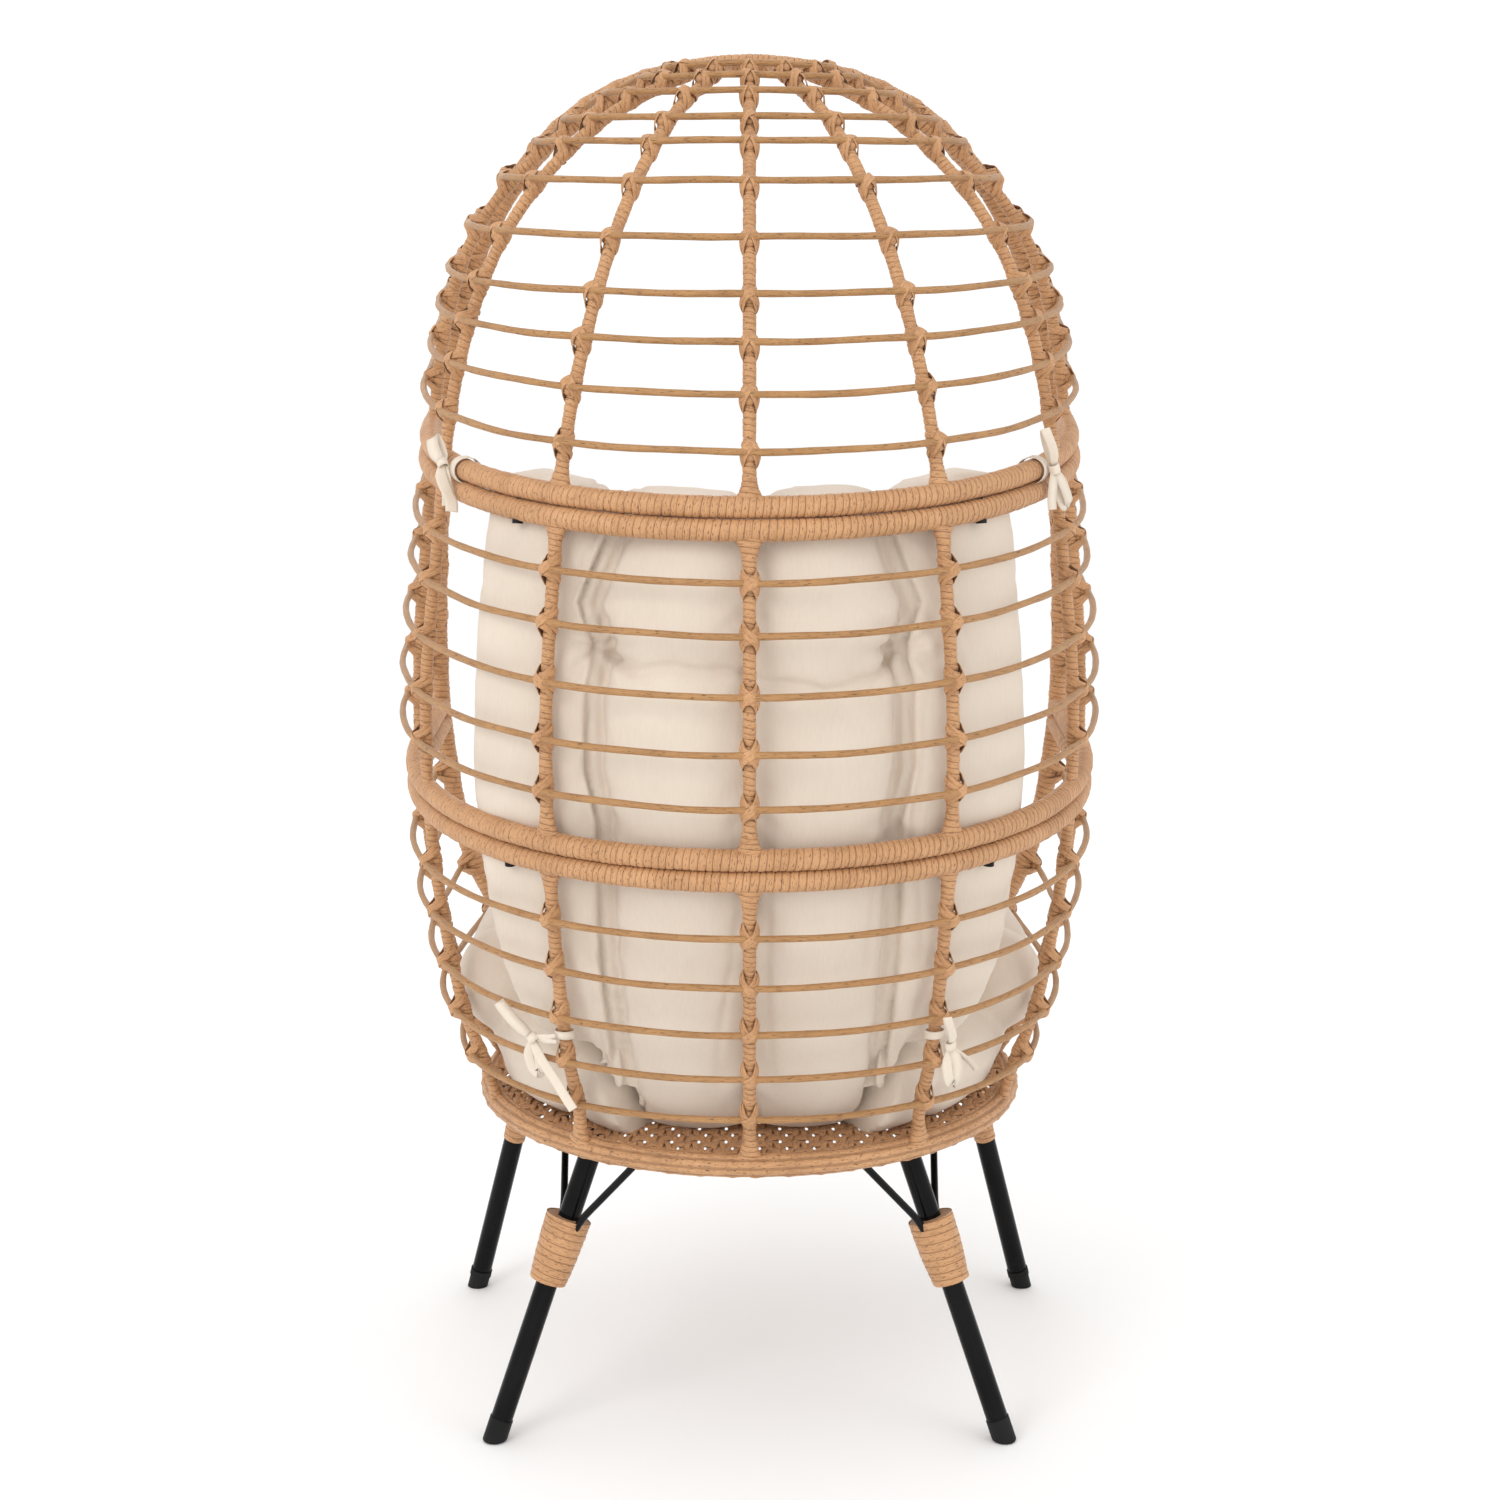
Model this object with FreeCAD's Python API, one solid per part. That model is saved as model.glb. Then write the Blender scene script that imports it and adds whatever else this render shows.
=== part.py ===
import FreeCAD, Part
import math
import os

# A standing egg chair: a three-part basket shell of wrapped steel tube and round canes, a woven seat base,
# four splayed legs, a back and a seat cushion held by ribbon ties. Millimetres, +Z up, the front faces -Y.
# X = 0 is the plane of symmetry. The base disc's centre stands BASE_Y from the origin.

V = FreeCAD.Vector
UP = V(0, 0, 1)

# ---- driving dimensions ----
BASE_Y = -32.6            # base centre, so that the origin is the middle of the chair's footprint
RIB_R = 6.5               # wrapped rib radius
FRAME_R = 11.0            # wrapped ring and rim radius
BASE_RING_R = 12.5        # wrapped base ring radius
CANE_R = 3.8              # round cane radius
TOUCH_GAP = 0.3           # clearance between pieces that touch
CANE_GAP = 1.2            # strand between a cane and the tube it is bound to
BASE_RADIUS = 296.0       # centre line of the wrapped base ring
BASE_Z = 338.0            # height of the base ring's centre line
WEAVE_T = 6.0             # woven seat thickness
LEG_R = 12.0              # leg tube radius
LEG_WALL = 1.6
LEG_TOP_Z = 319.0         # where the leg tubes meet their plates
REAR_FOOT = V(279, 240, 0)
REAR_TOP = V(171, 190, LEG_TOP_Z)
FRONT_FOOT = V(341, -180, 0)
FRONT_TOP = V(260, -140, LEG_TOP_Z)
BOLT_R = 3.0
SECTION_POWER = 0.95      # how square the shell is in plan
COLUMN_DEPTH = 105.0      # back cushion thickness

# Shell stations from the base up: height at the back, back offset, half width, depth from the back to the
# outer ribs, lean of the level (degrees, front up), then the plan angles of the inner, middle, outer ribs.
STATIONS = [
    (338.0, 296.0, 296.0, 296.0, 0.0, 36.5, 72.5, 104.0),
    (385.0, 304.0, 312.0, 311.0, 0.3, 34.0, 69.5, 95.0),
    (450.0, 328.0, 343.0, 369.0, 1.2, 32.5, 67.5, 91.0),
    (600.0, 366.0, 377.0, 455.0, 2.7, 31.0, 65.5, 88.5),
    (780.0, 382.0, 386.0, 490.0, 3.6, 31.0, 65.0, 90.0),
    (950.0, 362.0, 368.0, 472.0, 5.3, 31.0, 64.0, 90.5),
    (1100.0, 327.0, 351.0, 420.0, 6.9, 30.0, 63.0, 89.0),
    (1250.0, 251.0, 315.0, 316.0, 4.3, 27.0, 59.5, 88.0),
    (1350.0, 167.0, 254.0, 222.0, 2.2, 25.5, 57.5, 88.0),
    (1420.0, 81.0, 173.0, 132.0, 0.9, 25.0, 56.0, 88.0),
    (1462.0, 1.0, 82.0, 52.0, 0.3, 24.0, 52.0, 88.5),
    (1469.0, -32.0, 88.0, 34.0, 0.0, 21.0, 43.0, 88.0),
]

# Right half of the front rim from the crown down to the front of the base.
RIM_POINTS = [
    V(0, -98, 1478), V(86, -101, 1469), V(181, -112, 1433), V(256, -136, 1364), V(318, -176, 1265),
    V(353, -220, 1156), V(368, -250, 1048), V(378, -268, 920), V(383, -279, 780), V(375, -286, 650),
    V(352, -293, 535), V(306, -301, 445), V(227, -310, 383), V(117, -318, 349), V(0, -320.2, 338),
]

UPPER_JOINT_Z = 1021.0    # height at the back where dome and band bolt together
LOWER_JOINT_Z = 675.0     # height at the back where band and bowl bolt together
DOME_CANES = [1461, 1449, 1431, 1403, 1378, 1338, 1283, 1229, 1184, 1135, 1082]
BAND_CANES = [959, 908, 850, 794, 741]
BOWL_CANES = [607, 554, 500.5, 449, 400.5]
RIB_TOP_SPACING = 29.0    # distance between rib ends along the crown of the rim


# ---- smooth curves through stations ----
def hermite(rows, t):
    """Value of a smooth curve through the rows at position t, counted in rows."""
    i = max(0, min(int(t), len(rows) - 2))
    u = t - i
    before = rows[max(i - 1, 0)]
    after = rows[min(i + 2, len(rows) - 1)]
    result = []
    for a, p, q, b in zip(before, rows[i], rows[i + 1], after):
        tp = (q - a) / 2
        tq = (b - p) / 2
        result.append(p * (2 * u**3 - 3 * u**2 + 1) + tp * (u**3 - 2 * u**2 + u)
                      + q * (3 * u**2 - 2 * u**3) + tq * (u**3 - u**2))
    return result


def station_at(height):
    """Position along STATIONS where the back rib has the given height."""
    low, high = 0.0, len(STATIONS) - 1.0
    for _ in range(40):
        middle = (low + high) / 2
        if hermite(STATIONS, middle)[0] < height:
            low = middle
        else:
            high = middle
    return (low + high) / 2


def level_point(t, angle, offset=0.0):
    """Point at station t and plan angle from the back (degrees), offset outwards within its level."""
    z, back, half_width, depth, lean = hermite(STATIONS, t)[:5]
    c = math.cos(math.radians(angle))
    s = math.sin(math.radians(angle))
    x = half_width * math.copysign(abs(s)**SECTION_POWER, s)
    y = back - depth * (1 - math.copysign(abs(c)**SECTION_POWER, c))
    place = V(x, y, 0) + V(s / half_width, c / depth, 0).normalize() * offset
    return place + UP * (z + math.tan(math.radians(lean)) * (back - place.y))


def shell_point(t, angle, offset=0.0):
    """Point of the shell at station t and plan angle, offset outwards square to the shell."""
    place = level_point(t, angle)
    if offset == 0:
        return place
    rise = (level_point(t + 0.05, angle) - level_point(t - 0.05, angle)).normalize()
    outward = level_point(t, angle, 1.0) - place
    outward = (outward - rise * outward.dot(rise)).normalize()
    return place + outward * offset


def rim_point(u):
    """Point of the right half of the rim, u counted in RIM_POINTS."""
    return V(*hermite([tuple(p) for p in RIM_POINTS], u))


def rim_position(height):
    """Position along the rim where it has the given height."""
    low, high = 0.0, len(RIM_POINTS) - 1.0
    for _ in range(40):
        middle = (low + high) / 2
        if rim_point(middle).z > height:
            low = middle
        else:
            high = middle
    return (low + high) / 2


def rim_end(height):
    """Where the level with the given height at the back meets the right half of the rim."""
    back, lean = (hermite(STATIONS, station_at(height))[i] for i in (1, 4))
    u = rim_position(height)
    for _ in range(8):
        rise = math.tan(math.radians(lean)) * (back - rim_point(u).y)
        u = rim_position(height + rise)
    return u


def rim_outward(u):
    """Sideways direction square to the rim, away from the opening."""
    run = (rim_point(u + 0.05) - rim_point(u - 0.05)).normalize()
    return (V(1, 0, 0) - run * run.x).normalize()


def mirrored(point):
    return V(-point.x, point.y, point.z)


def level_path(height, offset=0.0, rim_offset=0.0, past_rim=0.0, per_bay=5):
    """Control points of a level from the left rim round the back to the right rim."""
    t = station_at(height)
    ribs = [0.0] + list(hermite(STATIONS, t)[5:8])
    right = []
    for a, b in zip(ribs, ribs[1:]):
        right += [shell_point(t, a + (b - a) * k / per_bay, offset) for k in range(per_bay)]
    outer = shell_point(t, ribs[-1], offset)
    u = rim_end(height)
    end = rim_point(u) + rim_outward(u) * rim_offset
    forward = (end - outer).normalize()
    bays = max(1, round((end - outer).Length / 55))
    right += [outer + (end - outer) * (k / bays) for k in range(bays)] + [end]
    if past_rim:
        right.append(end + forward * past_rim)
    return [mirrored(p) for p in reversed(right[1:])] + right


def rib_path(rib, low, high, to_rim=False):
    """Control points of a rib between two heights; rib 0 is the back one, 3 the outer one, right side."""
    a, b = station_at(low), station_at(high)
    steps = max(3, round((b - a) * 2))
    points = []
    for k in range(steps + 1):
        t = a + (b - a) * k / steps
        angle = ([0.0] + hermite(STATIONS, t)[5:8])[rib]
        points.append(shell_point(t, angle))
    if to_rim:
        u = RIB_TOP_SPACING * rib / RIM_POINTS[1].x
        points.append(rim_point(u))
    return points


# ---- solids ----
def smooth_wire(points):
    """Straight runs joined by the largest tangent arcs."""
    edges = []
    start = points[0]
    for before, corner, after in zip(points, points[1:], points[2:]):
        run_in = (corner - before).Length
        run_out = (after - corner).Length
        reach = 0.49 * min(run_in, run_out)
        back = (before - corner).normalize()
        ahead = (after - corner).normalize()
        turn = math.pi - back.getAngle(ahead)
        if turn < 0.004:
            continue
        first = corner + back * reach
        last = corner + ahead * reach
        radius = reach / math.tan(turn / 2)
        inward = (back + ahead).normalize()
        middle = corner + inward * (math.hypot(radius, reach) - radius)
        edges.append(Part.LineSegment(start, first).toShape())
        edges.append(Part.Arc(first, middle, last).toShape())
        start = last
    edges.append(Part.LineSegment(start, points[-1]).toShape())
    return Part.Wire(edges)


def rod(points, radius):
    """Solid round rod along control points."""
    wire = smooth_wire(points)
    direction = points[1] - points[0]
    section = Part.Wire([Part.makeCircle(radius, points[0], direction)])
    return wire.makePipeShell([section], True, False)


def straight(start, end, radius):
    return Part.makeCylinder(radius, (end - start).Length, start, end - start)


def mirror(shape):
    return shape.mirror(V(0, 0, 0), V(1, 0, 0))


def both_sides(shapes):
    return [s for shape in shapes for s in (shape, mirror(shape))]


def solids_of(shape):
    return list(shape.Solids)


def largest(shape):
    """The biggest solid that a cut leaves."""
    return max(shape.Solids, key=lambda s: s.Volume)


parts = {}


def keep(name, shapes):
    """Name a node: one solid or a group of separate solids."""
    if not isinstance(shapes, (list, tuple)):
        shapes = [shapes]
    solids = [s for shape in shapes for s in solids_of(shape)]
    parts[name] = solids


# ---- front rim, in one upper arch, two side pieces and one lower loop ----
def joint_position(height):
    """Rim position half way between the two rings that bolt together there."""
    return (rim_end(height + FRAME_R) + rim_end(height - FRAME_R)) / 2


def rim_piece(first, last, both):
    """Rim from position first to last; both mirrors it over the plane of symmetry."""
    steps = max(4, round((last - first) * 2))
    points = [rim_point(first + (last - first) * k / steps) for k in range(steps + 1)]
    if both and first == 0:
        points = [mirrored(p) for p in reversed(points[1:])] + points
    elif both:
        points = points + [mirrored(p) for p in reversed(points[:-1])]
    return rod(points, FRAME_R)


SEAM = 0.006              # half gap at a rim seam, in rim positions
upper_seam = joint_position(UPPER_JOINT_Z)
lower_seam = joint_position(LOWER_JOINT_Z)
last_rim = len(RIM_POINTS) - 1.0
dome_rim = rim_piece(0.0, upper_seam - SEAM, True)
band_rim = rim_piece(upper_seam + SEAM, lower_seam - SEAM, False)
bowl_rim = rim_piece(lower_seam + SEAM, last_rim, True)
band_rims = [band_rim, mirror(band_rim)]

# ---- rings ----
RING_STEP = FRAME_R + TOUCH_GAP / 2
dome_ring_z = UPPER_JOINT_Z + RING_STEP
band_top_z = UPPER_JOINT_Z - RING_STEP
band_bottom_z = LOWER_JOINT_Z + RING_STEP
bowl_ring_z = LOWER_JOINT_Z - RING_STEP


def ring(height, rims):
    """Ring at a height, its ends shaped to the rim tubes they are welded to."""
    shape = rod(level_path(height), FRAME_R)
    for rim in rims:
        shape = largest(shape.cut(rim))
    return shape


dome_ring = ring(dome_ring_z, [dome_rim])
band_top_ring = ring(band_top_z, band_rims)
band_bottom_ring = ring(band_bottom_z, band_rims)
bowl_ring = ring(bowl_ring_z, [bowl_rim])
base_ring = Part.makeTorus(BASE_RADIUS, BASE_RING_R, V(0, 0, BASE_Z), UP)


# ---- ribs ----
def ribs(section, low, high, cutters, to_rim=False):
    """The seven ribs of a section, their ends shaped to what they are welded to."""
    names = ["rib_centre", "ribs_inner", "ribs_middle", "ribs_outer"]
    for index, name in enumerate(names):
        shape = rod(rib_path(index, low, high, to_rim), RIB_R)
        for cutter in cutters:
            shape = largest(shape.cut(cutter))
        keep(section + "_" + name, [shape] if index == 0 else both_sides([shape]))


ribs("dome", dome_ring_z, STATIONS[-1][0], [dome_ring, dome_rim], True)
ribs("band", band_bottom_z, band_top_z, [band_bottom_ring, band_top_ring])
ribs("bowl", BASE_Z, bowl_ring_z, [base_ring, bowl_ring])


# ---- canes, bound to the outside of the ribs ----
CANE_OFFSET = RIB_R + CANE_R + CANE_GAP
CANE_RIM_OFFSET = FRAME_R + CANE_R + CANE_GAP
CANE_PAST_RIM = 9.0


def canes(heights):
    return [rod(level_path(z, CANE_OFFSET, CANE_RIM_OFFSET, CANE_PAST_RIM), CANE_R) for z in heights]


keep("dome_canes", canes(DOME_CANES))
keep("band_canes", canes(BAND_CANES))
keep("bowl_canes", canes(BOWL_CANES))

# ---- bolts through each pair of rings ----
BOLT_ANGLES = (39.0, 77.0)    # plan angles of the bolts on each side
HEAD_R = 5.6
HEAD_H = 4.0
NUT_R = 5.7
NUT_H = 5.0
NUT_RISE = 3.5             # the nut sits in a pocket this far above the upper ring's centre line


def ring_bolts(height):
    """Bolts, nuts and drill bits for the pair of rings at a joint, both sides."""
    bolts, nuts, drills = [], [], []
    t = station_at(height)
    for angle in BOLT_ANGLES:
        below = shell_point(station_at(height - RING_STEP), angle)
        above = shell_point(station_at(height + RING_STEP), angle)
        axis = (above - below).normalize()
        head_top = below - axis * (FRAME_R - 1.0)
        nut_base = above + axis * NUT_RISE
        shank = straight(head_top - axis * 1.0, nut_base + axis * (NUT_H + 0.5), BOLT_R)
        head = straight(head_top - axis * HEAD_H, head_top, HEAD_R)
        bolts.append(head.fuse(shank).removeSplitter())
        side = V(1, 0, 0)
        side = (side - axis * side.dot(axis)).normalize()
        across = axis.cross(side)
        corners = [nut_base + side * (NUT_R * math.cos(k * math.pi / 3))
                   + across * (NUT_R * math.sin(k * math.pi / 3)) for k in range(7)]
        nut = Part.Face(Part.makePolygon(corners)).extrude(axis * NUT_H)
        nuts.append(nut.cut(straight(nut_base - axis, nut_base + axis * (NUT_H + 1), BOLT_R + 0.02)))
        drills.append(straight(head_top - axis * (HEAD_H + 6), head_top, HEAD_R + 0.2))
        drills.append(straight(head_top - axis, nut_base + axis, BOLT_R + 0.15))
        drills.append(straight(nut_base, nut_base + axis * (FRAME_R + 4), NUT_R + 0.2))
    return both_sides(bolts), both_sides(nuts), both_sides(drills)


upper_bolts, upper_nuts, upper_drills = ring_bolts(UPPER_JOINT_Z)
lower_bolts, lower_nuts, lower_drills = ring_bolts(LOWER_JOINT_Z)
for drill in upper_drills:
    dome_ring = largest(dome_ring.cut(drill))
    band_top_ring = largest(band_top_ring.cut(drill))
for drill in lower_drills:
    band_bottom_ring = largest(band_bottom_ring.cut(drill))
    bowl_ring = largest(bowl_ring.cut(drill))
keep("upper_joint_bolts", upper_bolts)
keep("upper_joint_nuts", upper_nuts)
keep("lower_joint_bolts", lower_bolts)
keep("lower_joint_nuts", lower_nuts)

keep("dome_rim", dome_rim)
keep("dome_ring", dome_ring)
keep("band_rim_right", band_rims[0])
keep("band_rim_left", band_rims[1])
keep("band_top_ring", band_top_ring)
keep("band_bottom_ring", band_bottom_ring)
keep("bowl_rim", bowl_rim)
keep("bowl_ring", bowl_ring)

# ---- base: wrapped ring, woven seat, two side rails and two crossbars under it ----
keep("base_ring", base_ring)
WEAVE_TOP = BASE_Z + 9.0
weave = Part.makeCylinder(BASE_RADIUS, WEAVE_T, V(0, 0, WEAVE_TOP - WEAVE_T))
keep("seat_weave", largest(weave.cut(base_ring)))
RAIL_R = 8.0
RAIL_Z = WEAVE_TOP - WEAVE_T - RAIL_R - TOUCH_GAP
RAIL_EXTRA = 90.0         # how far the rail's line runs past the rear leg before the ring trims it
CROSSBAR_Y = (100.0, -50.0)
CROSSBAR_R = 7.0
rail_rear = V(REAR_TOP.x, REAR_TOP.y, RAIL_Z)
rail_front = V(FRONT_TOP.x, FRONT_TOP.y, RAIL_Z)
rail_run = (rail_front - rail_rear).normalize()
rail = straight(rail_rear - rail_run * RAIL_EXTRA, rail_front + rail_run * RAIL_EXTRA, RAIL_R)
rail = largest(rail.cut(base_ring).common(Part.makeCylinder(BASE_RADIUS, 100, V(0, 0, RAIL_Z - 50))))
crossbars = []
for y in CROSSBAR_Y:
    reach = rail_rear.x + (y - rail_rear.y) * rail_run.x / rail_run.y
    bar = straight(V(-reach, y, RAIL_Z), V(reach, y, RAIL_Z), CROSSBAR_R)
    crossbars.append(largest(bar.cut(rail).cut(mirror(rail))))
keep("seat_crossbars", crossbars)

# ---- legs, plates, screws, wrapped collars and brace rods ----
PLATE_T = 4.0
PLATE_W = 24.0
PLATE_BACK = 15.0         # plate behind the leg's centre, along the rail
PLATE_AHEAD = 56.0        # plate ahead of it, where the screws are
PLATE_Z = RAIL_Z - RAIL_R - TOUCH_GAP - PLATE_T
COLLAR_LOW_Z = 172.0
COLLAR_HIGH_Z = 246.0
COLLAR_LOW_R = 20.5
COLLAR_HIGH_R = 25.5
SOCKET_R = 13.6
SOCKET_LOW_Z = 204.0
ROD_R = 4.0
ROD_LOW_Z = 184.0
ROD_BEND_Z = 238.0
FOOT_LENGTH = 26.0        # along the leg from the floor to the tube's end


def along(foot, top, height):
    return foot + (top - foot) * ((height - foot.z) / (top.z - foot.z))


def ring_landing(azimuth):
    """Point on the base ring's centre line, azimuth in degrees from the back."""
    turn = math.radians(azimuth)
    return V(math.sin(turn) * BASE_RADIUS, math.cos(turn) * BASE_RADIUS, BASE_Z)


def rail_landing(y):
    """Point on the rail's centre line."""
    return rail_rear + rail_run * ((y - rail_rear.y) / rail_run.y)


def leg_set(name, foot, top, landings, inward):
    """One leg with its plate and screws, and with a collar if brace rods land on it; kept on both sides."""
    axis = (top - foot).normalize()
    end = foot + axis * FOOT_LENGTH
    high = top + axis * 12
    tube = straight(end, high, LEG_R).cut(straight(end - axis, high + axis, LEG_R - LEG_WALL))
    room = Part.makeBox(1200, 1200, PLATE_Z - TOUCH_GAP, V(-600, -600, 0))
    tube = largest(tube.common(room))
    rods = []
    for landing in landings:
        start = along(foot, top, ROD_LOW_Z)
        bend = along(foot, top, ROD_BEND_Z)
        toward = landing - bend
        toward = (toward - axis * toward.dot(axis)).normalize() * (LEG_R + ROD_R + TOUCH_GAP)
        brace = rod([start + toward, bend + toward, landing], ROD_R)
        rods.append(largest(brace.cut(base_ring).cut(rail)))
    low = along(foot, top, COLLAR_LOW_Z)
    tall = along(foot, top, COLLAR_HIGH_Z)
    collar = Part.makeCone(COLLAR_LOW_R, COLLAR_HIGH_R, (tall - low).Length, low, axis)
    collar = collar.cut(straight(low - axis * 2, tall + axis * 2, LEG_R + 0.05))
    for brace in rods:
        collar = collar.cut(brace)
    collar = largest(collar)
    centre = V(top.x, top.y, PLATE_Z)
    run = rail_run * inward
    across = UP.cross(run) * (PLATE_W / 2)
    corners = [centre + run * reach + across * side
               for reach, side in ((-PLATE_BACK, -1), (PLATE_AHEAD, -1), (PLATE_AHEAD, 1), (-PLATE_BACK, 1))]
    plate = Part.Face(Part.makePolygon(corners + corners[:1])).extrude(UP * PLATE_T)
    screws = []
    for reach in SCREW_REACHES:
        place = centre + run * reach
        shank = Part.makeCylinder(SCREW_R, PLATE_T + 8, place - UP)
        head = Part.makeCylinder(SCREW_HEAD_R, SCREW_HEAD_H, place - UP * SCREW_HEAD_H)
        screws.append(head.fuse(shank).removeSplitter())
        plate = plate.cut(Part.makeCylinder(SCREW_R + 0.05, PLATE_T + 2, place - UP))
    for side, change in (("right", lambda s: s), ("left", mirror)):
        keep(name + "_" + side + "_leg", change(tube))
        if rods:
            keep(name + "_" + side + "_collar", change(collar))
            keep(name + "_" + side + "_brace_rods", [change(r) for r in rods])
    return end, axis, plate, screws


SCREW_R = 2.5
SCREW_HEAD_R = 4.6
SCREW_HEAD_H = 2.6
SCREW_REACHES = (25.0, 46.0)
rear_landings = (ring_landing(22.5), rail_landing(50.0))
rear_end, rear_axis, rear_plate, rear_screws = leg_set("rear", REAR_FOOT, REAR_TOP, rear_landings, 1)
front_end, front_axis, front_plate, front_screws = leg_set("front", FRONT_FOOT, FRONT_TOP, (), -1)
for screw in rear_screws + front_screws:
    rail = largest(rail.cut(screw))
keep("seat_rails", both_sides([rail]))
keep("leg_plates", both_sides([rear_plate, front_plate]))
keep("leg_screws", both_sides(rear_screws + front_screws))

socket_low = along(FRONT_FOOT, FRONT_TOP, SOCKET_LOW_Z)
socket = straight(socket_low, FRONT_TOP + front_axis * 12, SOCKET_R)
socket = socket.cut(straight(FRONT_FOOT, FRONT_TOP + front_axis * 20, LEG_R + 0.05))
socket = largest(socket.common(Part.makeBox(1200, 1200, PLATE_Z - TOUCH_GAP, V(-600, -600, 0))))
keep("front_leg_sockets", both_sides([socket]))

# ---- rear feet: fixed rubber caps, cut level with the floor ----
FLOOR_BOX = Part.makeBox(1400, 1400, 400, V(-700, -700, 0))
CAP_R = LEG_R + 0.9
plug = straight(rear_end, rear_end + rear_axis * 18, LEG_R - LEG_WALL - 0.05)
boot = straight(rear_end - rear_axis * (FOOT_LENGTH + 14), rear_end, CAP_R)
rear_cap = largest(boot.common(FLOOR_BOX).fuse(plug).removeSplitter())
edges = [e for e in rear_cap.Edges if e.BoundBox.ZMax < 0.01]
rear_cap = rear_cap.makeFillet(2.5, edges)
keep("rear_right_foot_cap", rear_cap)
keep("rear_left_foot_cap", mirror(rear_cap))

# ---- front feet: threaded insert, turning stud with a fluted wheel, floor pad that moves along the leg ----
STUD_R = 4.0
RUNNING = 0.05
WHEEL_R = 13.2
WHEEL_H = 9.0
WHEEL_GAP = 1.6           # groove between tube end and wheel
PAD_R = 12.2
INSERT_H = 22.0
insert = straight(front_end + front_axis * 0.5, front_end + front_axis * INSERT_H, LEG_R - LEG_WALL - 0.05)
insert = insert.cut(straight(front_end - front_axis, front_end + front_axis * 40, STUD_R + RUNNING))
wheel_top = front_end - front_axis * WHEEL_GAP
wheel_low = wheel_top - front_axis * WHEEL_H
wheel = straight(wheel_low, wheel_top, WHEEL_R)
side = V(0, 1, 0)
side = (side - front_axis * side.dot(front_axis)).normalize()
across = front_axis.cross(side)
FLUTES = 20
for k in range(FLUTES):
    angle = 2 * math.pi * k / FLUTES
    middle = side * math.cos(angle) + across * math.sin(angle)
    groove = middle * (WHEEL_R + 0.5)
    wheel = wheel.cut(straight(wheel_low + groove - front_axis, wheel_top + groove + front_axis, 1.1))
STUD_INTO_PAD = 5.0
stud = straight(wheel_low - front_axis * STUD_INTO_PAD, front_end + front_axis * 16, STUD_R)
stud = largest(wheel.fuse(stud).removeSplitter())
pad = straight(wheel_low - front_axis * 60, wheel_low - front_axis * 0.15, PAD_R).common(FLOOR_BOX)
pad = pad.cut(straight(wheel_low - front_axis * (STUD_INTO_PAD + 0.2), wheel_low + front_axis, STUD_R + RUNNING))
pad = largest(pad)
for side_name, change in (("right", lambda s: s), ("left", mirror)):
    keep("front_" + side_name + "_insert", change(insert))
    keep("front_" + side_name + "_foot_screw", change(stud))
    keep("front_" + side_name + "_foot_pad", change(pad))


# ---- cushions ----
SEAT_LOW = WEAVE_TOP + 0.5


def back_section(height, half_angle, thickness, inset):
    """Closed outline of the back cushion at a height: outer arc inside the ribs, inner arc towards the sitter."""
    t = station_at(height)
    outer = [level_point(t, a, -inset) for a in (-half_angle, 0.0, half_angle)]
    inner = [level_point(t, a, -inset - thickness) for a in (half_angle, 0.0, -half_angle)]
    edges = [Part.Arc(*outer).toShape(), Part.LineSegment(outer[-1], inner[0]).toShape(),
             Part.Arc(*inner).toShape(), Part.LineSegment(inner[-1], outer[0]).toShape()]
    return Part.Wire(edges)


def soft_loft(levels):
    return Part.makeLoft([back_section(*level) for level in levels], True, False)


# Height at the back, half angle, thickness and distance in from the shell.
RIB_INSET = RIB_R + 10.5
BACK_LEVELS = [(452, 41, 76, 24), (490, 47, 96, 15), (570, 52, COLUMN_DEPTH, RIB_INSET),
               (700, 54, COLUMN_DEPTH, RIB_INSET), (850, 54, COLUMN_DEPTH, RIB_INSET),
               (970, 53, 98, RIB_INSET), (1035, 50, 66, 18)]
FOOT_LEVELS = [(SEAT_LOW, 27, 50, 78), (375, 29, 76, 48), (430, 30, 84, 24), (520, 29, 84, 14)]
back_cushion = largest(soft_loft(BACK_LEVELS).fuse(soft_loft(FOOT_LEVELS)))
keep("back_cushion", back_cushion)

SEAT_LEVELS = [(0.0, 262.0), (14.0, 280.0), (48.0, 294.0), (82.0, 290.0), (108.0, 262.0)]
seat_edge = [V(0, 0, SEAT_LOW)] + [V(r, 0, SEAT_LOW + z) for z, r in SEAT_LEVELS]
seat_edge += [V(0, 0, SEAT_LOW + SEAT_LEVELS[-1][0] + 6.0), V(0, 0, SEAT_LOW)]
seat = Part.Face(Part.makePolygon(seat_edge)).revolve(V(0, 0, 0), UP, 360)
WING = V(270, -70, SEAT_LOW + 120)
WING_R = 56.0
WING_HALF = V(6, 120, 0)
wing = straight(WING - WING_HALF, WING + WING_HALF, WING_R)
wing = wing.fuse([Part.makeSphere(WING_R, WING - WING_HALF), Part.makeSphere(WING_R, WING + WING_HALF)])
seat_cushion = largest(seat.fuse([wing, mirror(wing)]))
SEAT_GAP = 2.0            # room between the seat cushion and the foot of the back cushion
room = soft_loft([(z, a + 1.0, t + i + SEAT_GAP + 12.0, -12.0) for z, a, t, i in FOOT_LEVELS])
seat_cushion = largest(seat_cushion.cut(room).cut(back_cushion))
keep("seat_cushion", seat_cushion)


# ---- ribbon ties: a band round the tube and two hanging ends ----
TIE_T = 1.2
TIE_W = 16.0
TIE_GAP = 1.6
TIE_BRIDGE_R = 3.0
TIE_KNOT_R = 6.5


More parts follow.
